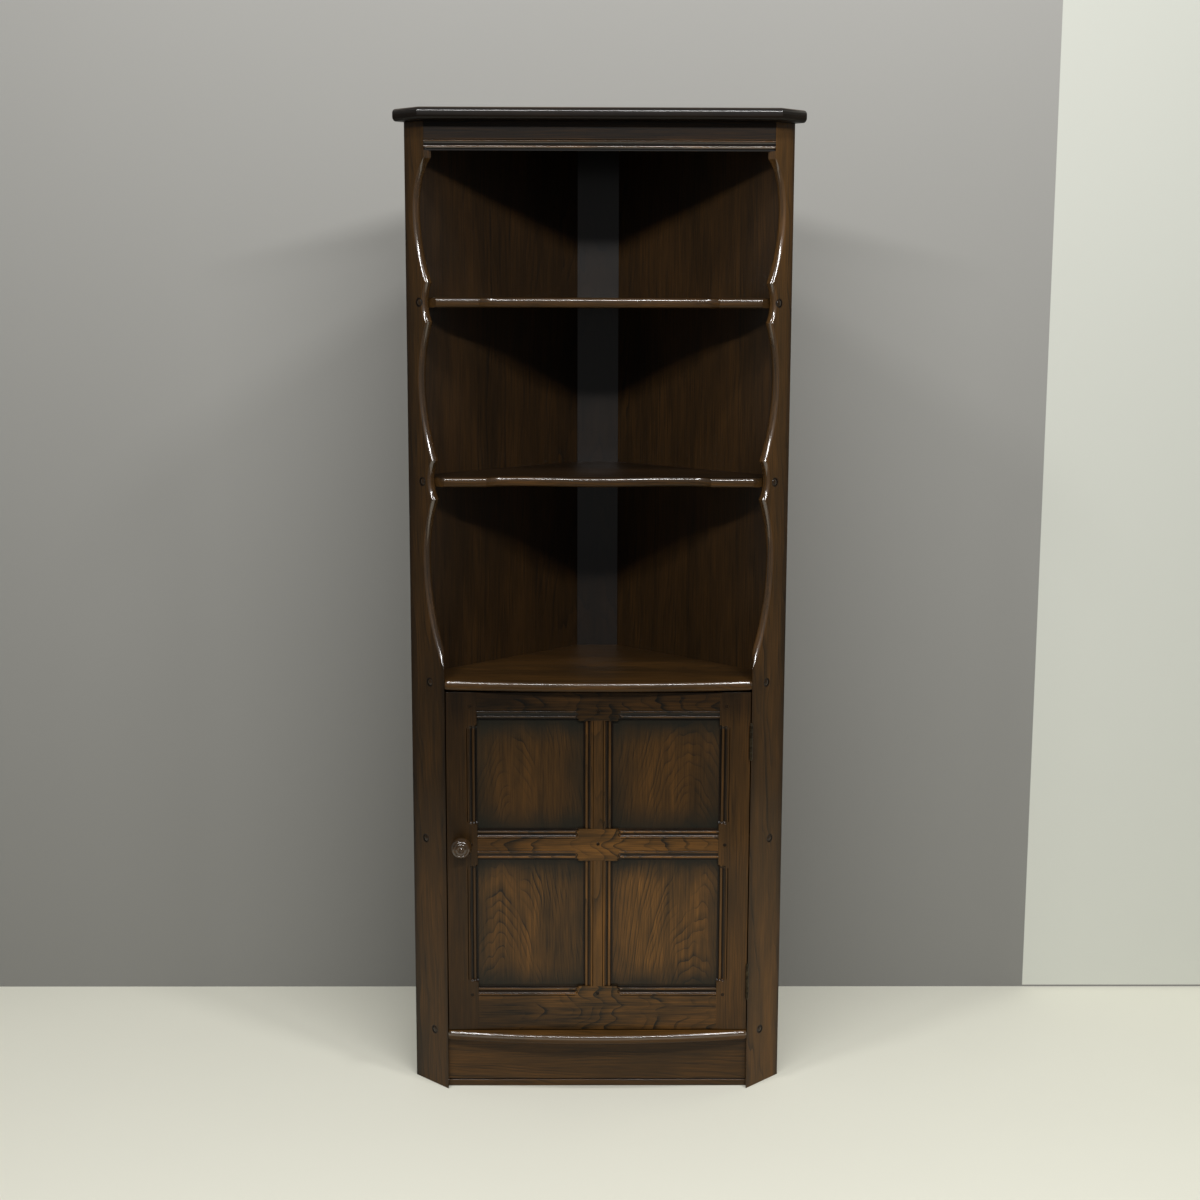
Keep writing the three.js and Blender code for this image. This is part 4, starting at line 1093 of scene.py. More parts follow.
@dataclass
class SideBoard:
    """A side board with its scalloped front edge, its plugs and the hinge housings."""

    plan: Plan
    side: Side
    upper_waist: float = 0.025
    upper_horn: float = 0.057
    upper_notch: float = 0.046
    middle_waist: float = 0.035
    middle_horn: float = 0.069
    middle_notch: float = 0.057
    middle_notch_rise: float = 0.004
    lower_waist: float = 0.0435
    neck_drop: float = 0.012
    notch_reach: float = 0.0355
    shoulder_rise: float = 0.022
    narrowest_shares: tuple[float, float, float] = (0.41, 0.42, 0.355)
    edge_round: float = 0.0065
    round_fade: float = 0.02
    arris: float = 0.001
    seat_step: float = 0.0001
    arc_steps: int = 30
    notch_steps: int = 30
    round_steps: int = 8
    plug_radius: float = 0.006
    plug_depth: float = 0.008
    plug_dome: float = 0.002
    sink_radius: float = 0.008
    sink_depth: float = 0.0016
    plug_sides: int = 36
    dome_steps: int = 8
    dish_steps: int = 6
    # How much of its colour is left across the board, by the width from the wall: darker towards
    # both edges
    edge_wash: tuple[tuple[float, float], ...] = (
        (0.0, 0.5),
        (0.022, 1.1),
        (0.07, 1.1),
        (0.095, 0.7),
    )
    plug_widths: dict[str, float] = field(
        default_factory=lambda: {
            "upper_shelf": 0.036,
            "middle_shelf": 0.0395,
            "waist_shelf": 0.0535,
            "inner_shelf": 0.0365,
            "base_board": 0.056,
        }
    )

    @property
    def name(self) -> str:
        """The board's own name."""
        return f"{self.side.word}_side_board"

    def shelf_middle(self, shelf: str) -> float:
        """Returns the height of the middle of a shelf's edge."""
        low, high = levels(shelf)
        return (low + high) / 2

    def scallop(self, upper: tuple, narrow: float, lower: tuple, share: float) -> np.ndarray:
        """Returns a scallop from its upper end to its lower one.

        Both arcs leave the narrowest place upright. An arc that runs out by a while it rises by b
        has the radius (a a + b b) / 2a.
        """
        level = upper[1] + (lower[1] - upper[1]) * share
        arcs = []
        for end in (upper, lower):
            run, rise = end[0] - narrow, end[1] - level
            radius = (run * run + rise * rise) / (2 * run)
            angle = np.linspace(0, math.asin(rise / radius), self.arc_steps + 1)
            arc = [narrow + radius * (1 - np.cos(angle)), level + radius * np.sin(angle)]
            arcs.append(np.stack(arc, axis=-1))
        return np.concatenate([arcs[0][::-1], arcs[1][1:]])

    def notch(self, horn: float, deep: float, level: float) -> np.ndarray:
        """Returns the round notch at a shelf's end without its two horns, from the top down."""
        sagitta = horn - deep
        radius = (self.notch_reach ** 2 + sagitta ** 2) / (2 * sagitta)
        sweep = math.asin(self.notch_reach / radius)
        angle = np.linspace(sweep, -sweep, self.notch_steps + 1)[1:-1]
        return np.stack([deep + radius * (1 - np.cos(angle)), level + radius * np.sin(angle)], -1)

    def outline(self) -> np.ndarray:
        """Returns the outline, in width from the wall and height, from the foot at the wall."""
        top = levels(self.name)[1]
        upper = self.shelf_middle("upper_shelf")
        middle = self.shelf_middle("middle_shelf") + self.middle_notch_rise
        waist = levels("waist_shelf")[1]
        frieze = levels("frieze_rail")[0]
        seat = frieze - self.seat_step
        reach = self.notch_reach
        shares = self.narrowest_shares
        neck = self.plan.neck_width
        full = self.plan.side_board_width
        return np.concatenate(
            [
                np.array([[0, 0], [0, top], [neck, top], [neck, frieze], [neck, seat]]),
                self.scallop(
                    (neck, frieze - self.neck_drop),
                    self.upper_waist,
                    (self.upper_horn, upper + reach),
                    shares[0],
                ),
                self.notch(self.upper_horn, self.upper_notch, upper),
                self.scallop(
                    (self.upper_horn, upper - reach),
                    self.middle_waist,
                    (self.middle_horn, middle + reach),
                    shares[1],
                ),
                self.notch(self.middle_horn, self.middle_notch, middle),
                self.scallop(
                    (self.middle_horn, middle - reach),
                    self.lower_waist,
                    (full, waist + self.shoulder_rise),
                    shares[2],
                ),
                np.array([[full, 0]]),
            ]
        )

    def board_mesh(self) -> bpy.types.Mesh:
        """Makes the board as rings through its thickness.

        Near each face the outline draws in round a quarter circle, wider on the scallops than
        elsewhere. The front and the frieze's seat are bevelled at 45 degrees, and the rear edge
        has its rebate.
        """
        outline = self.outline()
        thickness = self.plan.side_board_thickness
        full = self.plan.side_board_width
        neck = self.plan.neck_width
        frieze = levels("frieze_rail")[0]
        seated = outline[:, 1] > frieze - self.seat_step / 2
        neck_level = frieze - self.neck_drop
        shoulder = levels("waist_shelf")[1] + self.shoulder_rise
        within = np.clip((neck_level - outline[:, 1]) / self.round_fade, 0, 1)
        within = within * np.clip((outline[:, 1] - shoulder) / self.round_fade, 0, 1)
        within = within * (outline[:, 0] > 0)
        radius = self.arris + (self.edge_round - self.arris) * within
        depth_share, inset_share = quarter_round(self.round_steps)
        rebate_face = thickness - self.plan.rebate_depth
        rebate_width = self.plan.back_inset + self.plan.back_thickness + FIT_GAP
        rings = []

        def add_ring(depth: np.ndarray, inset: np.ndarray, rebated: bool) -> None:
            """Adds the outline at a depth, drawn in, with the bevel and the rebate."""
            drawn = offset_inwards(outline, inset)
            width = np.minimum(drawn[:, 0], np.where(seated, neck, full) - depth)
            if rebated:
                width = np.maximum(width, rebate_width)
            rings.append(np.stack([width, depth, drawn[:, 1]], axis=-1))

        flat = np.zeros(len(outline))
        for depth, inset in zip(depth_share, inset_share):
            add_ring(radius * depth, radius * inset, False)
        add_ring(flat + rebate_face, flat, False)
        add_ring(flat + rebate_face, flat, True)
        for depth, inset in zip(depth_share[::-1], inset_share[::-1]):
            add_ring(thickness - radius * depth, radius * inset, True)
        shell = Shell.lofted(np.stack(rings)).moved(self.plan.side_frame(self.side))
        return shell.mesh(self.name)

    def plug_place(self, shelf: str) -> Matrix:
        """Returns the frame of a plug: its axis z runs into the board."""
        into_board = Matrix.Rotation(-QUARTER, 4, "X")
        centre = Vector((self.plug_widths[shelf], 0, self.shelf_middle(shelf)))
        return self.plan.side_frame(self.side) @ Matrix.Translation(centre) @ into_board

    def plug_hole(self, shelf: str) -> Shell:
        """Returns the hole for a plug, with its dished sink."""
        sink, bore = self.sink_radius, self.plug_radius + FIT_GAP
        depth_share, inset_share = (share[::-1][1:] for share in quarter_round(self.dish_steps))
        dish_radius = bore + (sink - bore) * inset_share
        dish_depth = self.sink_depth - self.sink_depth * depth_share
        end = self.plug_depth + FIT_GAP
        radii = np.concatenate([[0, sink, sink], dish_radius, [bore, 0]])
        depths = np.concatenate([[-OVERRUN, -OVERRUN, 0], dish_depth, [end, end]])
        return Shell.turned(radii, depths, self.plug_sides).moved(self.plug_place(shelf))

    def plug(self, shelf: str) -> Shell:
        """Returns a plug with its domed face: a quarter ellipse turned about its axis."""
        angle = np.linspace(0, QUARTER, self.dome_steps + 1)
        radii = np.concatenate([[0, self.plug_radius], self.plug_radius * np.cos(angle)])
        depths = np.concatenate(
            [[self.plug_depth, self.plug_depth], self.sink_depth - self.plug_dome * np.sin(angle)]
        )
        radii[-1] = 0
        return Shell.turned(radii, depths, self.plug_sides).moved(self.plug_place(shelf))

    def build(self, bench: Bench, housings: list[Shell]) -> None:
        """Builds the board and its plugs.

        Args:
            bench: where the pieces are finished.
            housings: the spaces for hinge leaves.
        """
        name, plan, sign = self.name, self.plan, self.side.value
        holes = [self.plug_hole(shelf) for shelf in self.plug_widths]
        mesh = worked(self.board_mesh(), holes + housings)
        right = self.side is Side.RIGHT
        lie = Lie.RIGHT_SIDE if right else Lie.LEFT_SIDE
        timber = Timber(lie, heart_depth=0.03, lean=0.03, seed=3.1 if right else 1.4)
        outer = (plan.wall_end_y + plan.shift - plan.wall_end_x) * SLANT
        face = Face((-sign * SLANT, SLANT, 0), outer, plan.side_board_thickness)
        wall = (-plan.wall_end_y - plan.shift - plan.wall_end_x) * SLANT
        across = tuple((wall + width, left) for width, left in self.edge_wash)
        edge = Wash((-sign * SLANT, -SLANT, 0), across)
        spots = [
            Spot(tuple(self.plug_place(shelf).translation), self.sink_radius)
            for shelf in self.plug_widths
        ]
        changes = (*SIDE_PAINTED_LIGHT, edge, *spots)
        finish = wood(Slot.CARCASE, STRENGTHS[name])
        bench.wooden(name, mesh, Body.CASE, finish, timber, face=face, changes=changes)
        for shelf in self.plug_widths:
            name = f"{self.side.word}_{shelf}_plug"
            plug = self.plug(shelf).mesh(name)
            bench.wooden(name, plug, Body.CASE, PLUG_FINISH, Timber(lie, seed=len(shelf)))


@dataclass
class Back:
    """The two back panels and the board between them in the corner.

    The bare share is how many times paler than their inner faces the panels' outer ones are.
    """

    plan: Plan
    arris: float = 0.0006
    bare_share: float = 5.0

    def build(self, bench: Bench) -> None:
        """Builds the three boards of the back."""
        plan, corner_name = self.plan, "corner_back_board"
        top = levels(corner_name)[1]
        rear_half = plan.panel_front_line - plan.corner_back
        start = plan.side_board_thickness - plan.rebate_depth + FIT_GAP
        end = (plan.wall_end_x - rear_half + plan.corner_back - plan.wall_end_y) / DIAGONAL
        panel = Shell.box(
            (plan.back_inset, start, 0), (plan.back_inset + plan.back_thickness, end, top)
        )
        for side, lie, seed in ((Side.LEFT, Lie.LEFT_BACK, 5.2), (Side.RIGHT, Lie.RIGHT_BACK, 7.9)):
            name = f"{side.word}_back_panel"
            mesh = panel.moved(plan.side_frame(side)).mesh(name)
            timber = Timber(lie, heart_across=-0.1, heart_depth=0.05, lean=0.03, seed=seed)
            outwards = (side.value * SLANT, SLANT, 0)
            rear = max(vertex.co.dot(Vector(outwards)) for vertex in mesh.vertices)
            bare = Wash(outwards, ((rear - plan.back_thickness / 2, 1.0), (rear, self.bare_share)))
            finish = self.finish(name)
            bench.wooden(name, mesh, Body.CASE, finish, timber, self.arris, changes=(bare,))
        front_half = plan.corner_board_width / 2 - MITRE_GAP
        rear_half -= MITRE_GAP
        outline = np.array(
            [
                [-front_half, plan.corner_front],
                [front_half, plan.corner_front],
                [rear_half, plan.corner_back],
                [-rear_half, plan.corner_back],
            ]
        )
        corner = Shell.prism(outline + np.array([0, plan.shift]), 0, top).mesh(corner_name)
        timber = Timber(Lie.UPRIGHT, seed=9.3)
        finish = self.finish(corner_name)
        bench.wooden(corner_name, corner, Body.CASE, finish, timber, self.arris)

    @staticmethod
    def finish(name: str) -> WoodFinish:
        """Returns the duller finish of the back's boards."""
        return wood(Slot.BACK, STRENGTHS[name], specular=0.2, coat=0.35, coat_roughness=0.2)


@dataclass
class Boards:
    """The level boards: the top, the shelves, the waist and the base."""

    plan: Plan
    upper_shelf_front: float = 0.036
    middle_shelf_front: float = 0.024
    inner_shelf_advance: float = 0.035
    shelf_end_run: float = 0.077
    shelf_recess: float = 0.020
    shelf_centre_setback: float = 0.003
    recess_shares: tuple[float, float, float] = (0.8, 0.4, 2.1)
    # Painted light and shade on each board: the share of its colour below the top face and on it,
    # and how far below it the change ends. The top board's nose is darkened for the shade under its
    # arris, the shelves' tops for the shade of the boards above, and the base board's top lightened
    # for the light that falls on it.
    top_light_and_shade: dict[str, tuple[float, float, float]] = field(
        default_factory=lambda: {
            "top_board": (0.15, 1.0, 0.0005),
            "upper_shelf": (1.0, 0.4, 0.0003),
            "middle_shelf": (1.0, 0.28, 0.0003),
            "waist_shelf": (1.0, 0.62, 0.0003),
            "base_board": (1.0, 1.5, 0.0003),
        }
    )
    wash_depth: float = 0.003
    top_edge_coat: float = 0.5
    waist_bow: float = 0.017
    waist_end_projection: float = 0.004
    base_bow: float = 0.023
    base_end_projection: float = 0.006
    nosed_corner_width: float = 0.008
    nosed_corner_setback: float = 0.002
    shelf_nose: float = 0.006
    top_nose: float = 0.008
    top_side_overhang: float = 0.026
    top_front_overhang: float = 0.029
    top_rear_cut: float = 0.076
    inner_shelf_arris: float = 0.001
    curve_steps: int = 40
    bow_steps: int = 60
    nose_steps: int = 8
    end_steps: int = 6

    @staticmethod
    def symmetrical(left_half: np.ndarray) -> np.ndarray:
        """Completes a front line from its left half, which may end in the middle."""
        skip = 1 if abs(left_half[-1, 0]) < FIT_GAP / 2 else 0
        return np.concatenate([left_half, mirrored(left_half)[skip:]])

    def serpentine(self, front: float) -> np.ndarray:
        """Returns an open shelf's front: straight ends, then a recess on a cubic curve.

        With t from 0 to 1, the curve is the sum of its four control points times the Bernstein
        polynomials of the third degree.
        """
        end_x = self.plan.board_back_line - MITRE_GAP + front
        cusp = end_x - self.shelf_end_run
        cusp_share, middle_share, depth_share = self.recess_shares
        centre = front + self.shelf_centre_setback
        t = np.linspace(0, 1, self.curve_steps + 1)
        weights = np.stack([(1 - t) ** 3, 3 * t * (1 - t) ** 2, 3 * t * t * (1 - t), t ** 3], -1)
        control = np.array(
            [
                [-cusp, front],
                [-cusp * cusp_share, front + self.shelf_recess * depth_share],
                [-cusp * middle_share, centre],
                [0, centre],
            ]
        )
        return self.symmetrical(np.concatenate([[[-end_x, front]], weights @ control]))

    def bowed(self, bow: float, projection: float) -> np.ndarray:
        """Returns a bowed front: one arc, whose ends turn in on short rounded corners."""
        side_x = self.plan.half_doorway - FIT_GAP
        end_x = side_x - self.nosed_corner_width
        radius = (end_x * end_x + bow * bow) / (2 * bow)
        angle = np.linspace(math.asin(end_x / radius), 0, self.bow_steps + 1)
        fall = radius * (1 - np.cos(angle)) - projection - bow
        arc = np.stack([-radius * np.sin(angle), fall], -1)
        arc[-1, 0] = 0
        t = np.linspace(0, 1, self.end_steps + 1)[:-1, None]
        corner = np.array([-side_x, -projection])
        start = np.array([-side_x, self.nosed_corner_setback])
        turn = (1 - t) ** 2 * start + 2 * t * (1 - t) * corner + t * t * arc[0]
        return self.symmetrical(np.concatenate([turn, arc]))

    def shelf_rear(self) -> np.ndarray:
        """Returns the rear of a shelf, from its right-hand end round the back."""
        side_line = self.plan.board_back_line - MITRE_GAP
        back_line = self.plan.panel_front_line - MITRE_GAP
        rear_y = self.plan.corner_front - FIT_GAP
        side_x = (side_line + back_line) / 2
        right = np.array([[side_x, back_line - side_x], [back_line - rear_y, rear_y]])
        return np.concatenate([right, mirrored(right)])

    def stepped_rear(self) -> np.ndarray:
        """Returns the rear of a board whose front passes between the side boards' bevels."""
        side_x = self.plan.half_doorway - FIT_GAP
        step_y = side_x - self.plan.board_back_line + MITRE_GAP
        return np.concatenate([[[side_x, step_y]], self.shelf_rear(), [[-side_x, step_y]]])

    def nosed(
        self, node: str, front: np.ndarray, rear: np.ndarray, nose: float, slide: tuple
    ) -> bpy.types.Mesh:
        """Makes a flat board with a rounded front edge.

        At each height the front line lies back by the nose's inset there, mitred at its corners,
        and its ends slide along the board's sides.

        Args:
            node: the node whose heights it takes.
            front: front line from left to right, in plan.
            rear: rear line from right to left.
            nose: radius of the round on both arrises.
            slide: how the left end moves for an inset of one.

        Returns:
            The mesh.
        """
        low, high = levels(node)
        depth_share, inset_share = quarter_round(self.nose_steps)
        heights = np.concatenate([low + nose * depth_share, (high - nose * depth_share)[::-1]])
        insets = np.concatenate([nose * inset_share, nose * inset_share[::-1]])
        edges = np.diff(front, axis=0)
        normals = np.stack([-edges[:, 1], edges[:, 0]], -1)
        normals /= np.linalg.norm(edges, axis=1, keepdims=True)
        dots = np.sum(normals[:-1] * normals[1:], axis=1, keepdims=True)
        mitres = (normals[:-1] + normals[1:]) / (1 + dots)
        left = np.array([[-slide[0], slide[1]]])
        move = np.concatenate([left, mitres, left * np.array([-1, 1])])
        rings = []
        for z, inset in zip(heights, insets):
            x, y = np.concatenate([front + move * inset, rear]).T
            rings.append(np.column_stack([x, y + self.plan.shift, np.full(len(x), z)]))
        return Shell.lofted(np.stack(rings)).mesh(node)

    def build(self, bench: Bench) -> None:
        """Builds every level board."""
        plan = self.plan
        top_front = plan.frieze_front - self.top_front_overhang
        return_line = plan.half_doorway + self.top_side_overhang * DIAGONAL
        end_x = (return_line + plan.wall_line) / 2
        corner_x = return_line + top_front
        top_front_line = self.symmetrical(
            np.array([[-end_x, plan.wall_line - end_x], [-corner_x, top_front]])
        )
        rear_x = self.top_rear_cut / 2
        rear_y = plan.wall_line - rear_x
        top_rear = np.array([[rear_x, rear_y], [-rear_x, rear_y]])
        waist = self.bowed(self.waist_bow, self.waist_end_projection)
        base = self.bowed(self.base_bow, self.base_end_projection)
        rear, stepped = self.shelf_rear(), self.stepped_rear()
        nose = self.shelf_nose
        rows = (
            ("top_board", top_front_line, top_rear, self.top_nose, (-SLANT, SLANT), 0.4),
            ("upper_shelf", self.serpentine(self.upper_shelf_front), rear, nose, (1, 1), 2.6),
            ("middle_shelf", self.serpentine(self.middle_shelf_front), rear, nose, (1, 1), 4.4),
            ("waist_shelf", waist, stepped, nose, (0, 1), 6.1),
            ("base_board", base, stepped, nose, (0, 1), 8.7),
        )
        for name, front, back, radius, slide, seed in rows:
            mesh = self.nosed(name, front, back, radius, slide)
            timber = Timber(Lie.SHELF, heart_across=0.05, heart_depth=-0.9, lean=0.04, seed=seed)
            edge_coat = self.top_edge_coat if name == "top_board" else WoodFinish.edge_coat
            finish = wood(Slot.CARCASE, STRENGTHS[name], edge_coat=edge_coat)
            face = self.faces(name)
            top = face.start + face.thickness
            # Painted light and shade on the board's top face and below it.
            below, above, depth = self.top_light_and_shade[name]
            wash = Wash(face.axis, ((top - self.wash_depth, below), (top - depth, above)))
            bench.wooden(name, mesh, Body.CASE, finish, timber, face=face, changes=(wash,))
        self.build_inner_shelf(bench)

    def build_inner_shelf(self, bench: Bench) -> None:
        """Builds the shelf behind the door, with its plain straight front."""
        name = "inner_shelf"
        front = self.plan.side_board_width - self.inner_shelf_advance
        end_x = self.plan.board_back_line - MITRE_GAP + front
        outline = np.concatenate([[[-end_x, front], [end_x, front]], self.shelf_rear()])
        low, high = levels(name)
        mesh = Shell.prism(outline + np.array([0, self.plan.shift]), low, high).mesh(name)
        timber = Timber(Lie.SHELF, heart_depth=-0.4, seed=11.2)
        finish, face = wood(Slot.CARCASE, STRENGTHS[name]), self.faces(name)
        bench.wooden(name, mesh, Body.CASE, finish, timber, self.inner_shelf_arris, face=face)

    @staticmethod
    def faces(name: str) -> Face:
        """Returns a level board's under side and top, its edge left dull up to the middle."""
        low, high = levels(name)
        return Face((0, 0, 1), low, high - low, dull_share=0.5)


# The moulding, worked on the frieze and round the door's panels


@dataclass(frozen=True)
class Moulding:
    """Quirk, reed, cove, bead and fillet, from the flat face across to the worked edge."""

    quirk_width: float = 0.001
    quirk_depth: float = 0.0016
    reed_width: float = 0.004
    reed_top: float = 0.0002
    cove_width: float = 0.0045
    cove_start: float = 0.0024
    cove_end: float = 0.004
    cove_sink_share: float = 0.7
    bead_width: float = 0.007
    bead_start: float = 0.0048
    bead_top: float = 0.0022
    bead_end: float = 0.006
    fillet_width: float = 0.003
    fillet_depth: float = 0.0066
    wall_lean: float = 0.00012
    run_out: float = 0.009
    shoulder: float = 0.0004
    arc_steps: int = 8
    run_steps: int = 11

    @property
    def width(self) -> float:
        """The whole moulding's width."""
        parts = (self.quirk_width, self.reed_width, self.cove_width, self.bead_width)
        return sum(parts) + self.fillet_width

    def raised(self, start: tuple, end: tuple, top: float) -> np.ndarray:
        """Returns a raised round from start to end.

        With s from 0 to 1, it lies (1 - cos pi s) / 2 of the way across, and it rises by sin pi s
        from the chord to its top.
        """
        s = np.linspace(0, 1, self.arc_steps + 1)
        chord = start[1] + (end[1] - start[1]) * s
        across = start[0] + (end[0] - start[0]) * (1 - np.cos(math.pi * s)) / 2
        return np.stack([across, chord - (chord - top) * np.sin(math.pi * s)], -1)

    def profile(self) -> np.ndarray:
        """Returns the profile as (across, depth).

        Its steps lean a little, so that none is upright.
        """
        lean = self.wall_lean
        reed_start = self.quirk_width
        reed_end = reed_start + self.reed_width
        cove_end = reed_end + self.cove_width
        bead_end = cove_end + self.bead_width
        t = np.linspace(0, 1, self.arc_steps + 1)
        sunk = self.cove_start + (self.cove_end - self.cove_start) * self.cove_sink_share
        bow = 4 * t * (1 - t) * (sunk - (self.cove_start + self.cove_end) / 2)
        cove_depth = self.cove_start + (self.cove_end - self.cove_start) * t + bow
        cove = np.stack([reed_end + lean + (self.cove_width - lean) * t, cove_depth], -1)
        quirk = self.quirk_depth
        bead_start = (cove_end + lean, self.bead_start)
        return np.concatenate(
            [
                [[0, 0]],
                self.raised((reed_start, quirk), (reed_end, quirk), self.reed_top),
                cove,
                self.raised(bead_start, (bead_end, self.bead_end), self.bead_top),
                [[bead_end + lean, self.fillet_depth], [self.width, self.fillet_depth]],
            ]
        )

    def lift(self, along: np.ndarray, stops: list[tuple[float, float]]) -> np.ndarray:
        """Returns how far the cutter is lifted at each place along a member.

        Near a stop it climbs round an arc that reaches the face at the stop itself. Outside every
        run it is clear of the wood.

        Args:
            along: places along the member.
            stops: the start and end of each moulded run.

        Returns:
            The lift for each place.
        """
        clear = self.fillet_depth
        radius = (self.run_out ** 2 + clear ** 2) / (2 * clear)
        lift = np.full(len(along), clear)
        for start, end in stops:
            inside = np.minimum(along - start, end - along)
            into = np.clip(self.run_out - inside, 0, self.run_out)
            climb = radius - np.sqrt(radius ** 2 - into ** 2)
            lift = np.where(inside >= 0, np.minimum(lift, climb), lift)
        return lift

    def stations(self, low: float, high: float, stops: list[tuple[float, float]]) -> np.ndarray:
        """Returns the places along a member where its section is taken, to the micrometre."""
        places = [low, high, low + self.shoulder, high - self.shoulder]
        share = np.linspace(0, 1, self.run_steps + 1)
        for start, end in stops:
            places += list(start + self.run_out * share) + list(end - self.run_out * share)
        slack, digits = 1e-9, 6
        inside = [place for place in places if low - slack <= place <= high + slack]
        return np.unique(np.round(inside, digits))


def across_front(section: np.ndarray, half: float, shift: float) -> Shell:
    """Runs a section across the front.

    Args:
        section: its points as (plan y, height).
        half: half the length of the run.
        shift: what turns a plan y into a part y.

    Returns:
        The shell, with square ends.
    """
    ends = [
        np.column_stack([np.full(len(section), x), section[:, 0] + shift, section[:, 1]])
        for x in (-half, half)
    ]
    return Shell.lofted(np.stack(ends))


@dataclass
class Frieze:
    """The frieze rail, moulded along its lower edge and seated between the side boards' necks."""

    plan: Plan
    moulding: Moulding
    thickness: float = 0.018
    # Share of its colour left on the flat above the moulding: painted shadow under the top board.
    shaded_flat_share: float = 0.3
    flat_fade: float = 0.002

    def build(self, bench: Bench) -> None:
        """Builds the frieze rail: its section run between two square ends."""
        plan, name = self.plan, "frieze_rail"
        front = plan.frieze_front
        back = front + self.thickness
        end_x = plan.wall_end_x - plan.neck_width / DIAGONAL - FIT_GAP
        low, high = levels(name)
        worked_top = low + self.moulding.width
        across, depth = self.moulding.profile().T
        worked_edge = np.stack([front + depth, worked_top - across], -1)
        section = np.concatenate([[[front, high]], worked_edge, [[back, low], [back, high]]])
        mesh = across_front(section, end_x, plan.shift).mesh(name)
        face = Face((0, 1, 0), front + plan.shift, self.thickness, is_moulded=True)
        timber = Timber(Lie.RAIL, heart_depth=-0.02, seed=12.5)
        finish = wood(Slot.CARCASE, STRENGTHS[name], coat=0.12, edge_coat=0.8, contrast=1.6)
        # Painted shadow: the flat above the moulding keeps this share of its colour, for the shade
        # under the top board's overhang.
        stops = ((worked_top, 1.0), (worked_top + self.flat_fade, self.shaded_flat_share))
        flat = Wash((0, 0, 1), stops)
        bench.wooden(name, mesh, Body.CASE, finish, timber, face=face, changes=(flat,))


@dataclass
class Plinth:
    """The plinth board, with a quirked bead along its foot."""

    plan: Plan
    setback: float = 0.013
    thickness: float = 0.018
    bead_height: float = 0.016
    quirk: float = 0.002
    bead_round: float = 0.003
    bead_steps: int = 6

    def build(self, bench: Bench) -> None:
        """Builds the plinth: a flat face, a quirk, and a bead rounded at its top and foot."""
        name = "plinth_board"
        low, high = levels(name)
        front, back = self.setback, self.setback + self.thickness
        bead_top = self.bead_height - self.quirk
        quirk_end = [front + self.quirk, bead_top + self.quirk / 2]
        depth, inset = (self.bead_round * share for share in quarter_round(self.bead_steps))
        round_top = np.stack([front + inset, bead_top - depth], -1)
        round_foot = np.stack([front + inset, depth], -1)[::-1]
        section = np.concatenate(
            [
                [[front, high], [front, self.bead_height], quirk_end],
                round_top,
                round_foot,
                [[back, low], [back, high]],
            ]
        )
        half = self.plan.half_doorway - FIT_GAP
        mesh = across_front(section, half, self.plan.shift).mesh(name)
        timber = Timber(Lie.RAIL, heart_depth=-0.1, seed=14.6)
        face = Face((0, 1, 0), front + self.plan.shift, self.thickness, is_moulded=True)
        finish = wood(Slot.CARCASE, STRENGTHS[name], edge_coat=0.5)
        bench.wooden(name, mesh, Body.CASE, finish, timber, face=face)


# The door


@dataclass(frozen=True)
class Section:
    """A door member's section: across and depth of each point, and which the moulding works."""

    across: np.ndarray
    depth: np.ndarray
    is_worked: np.ndarray


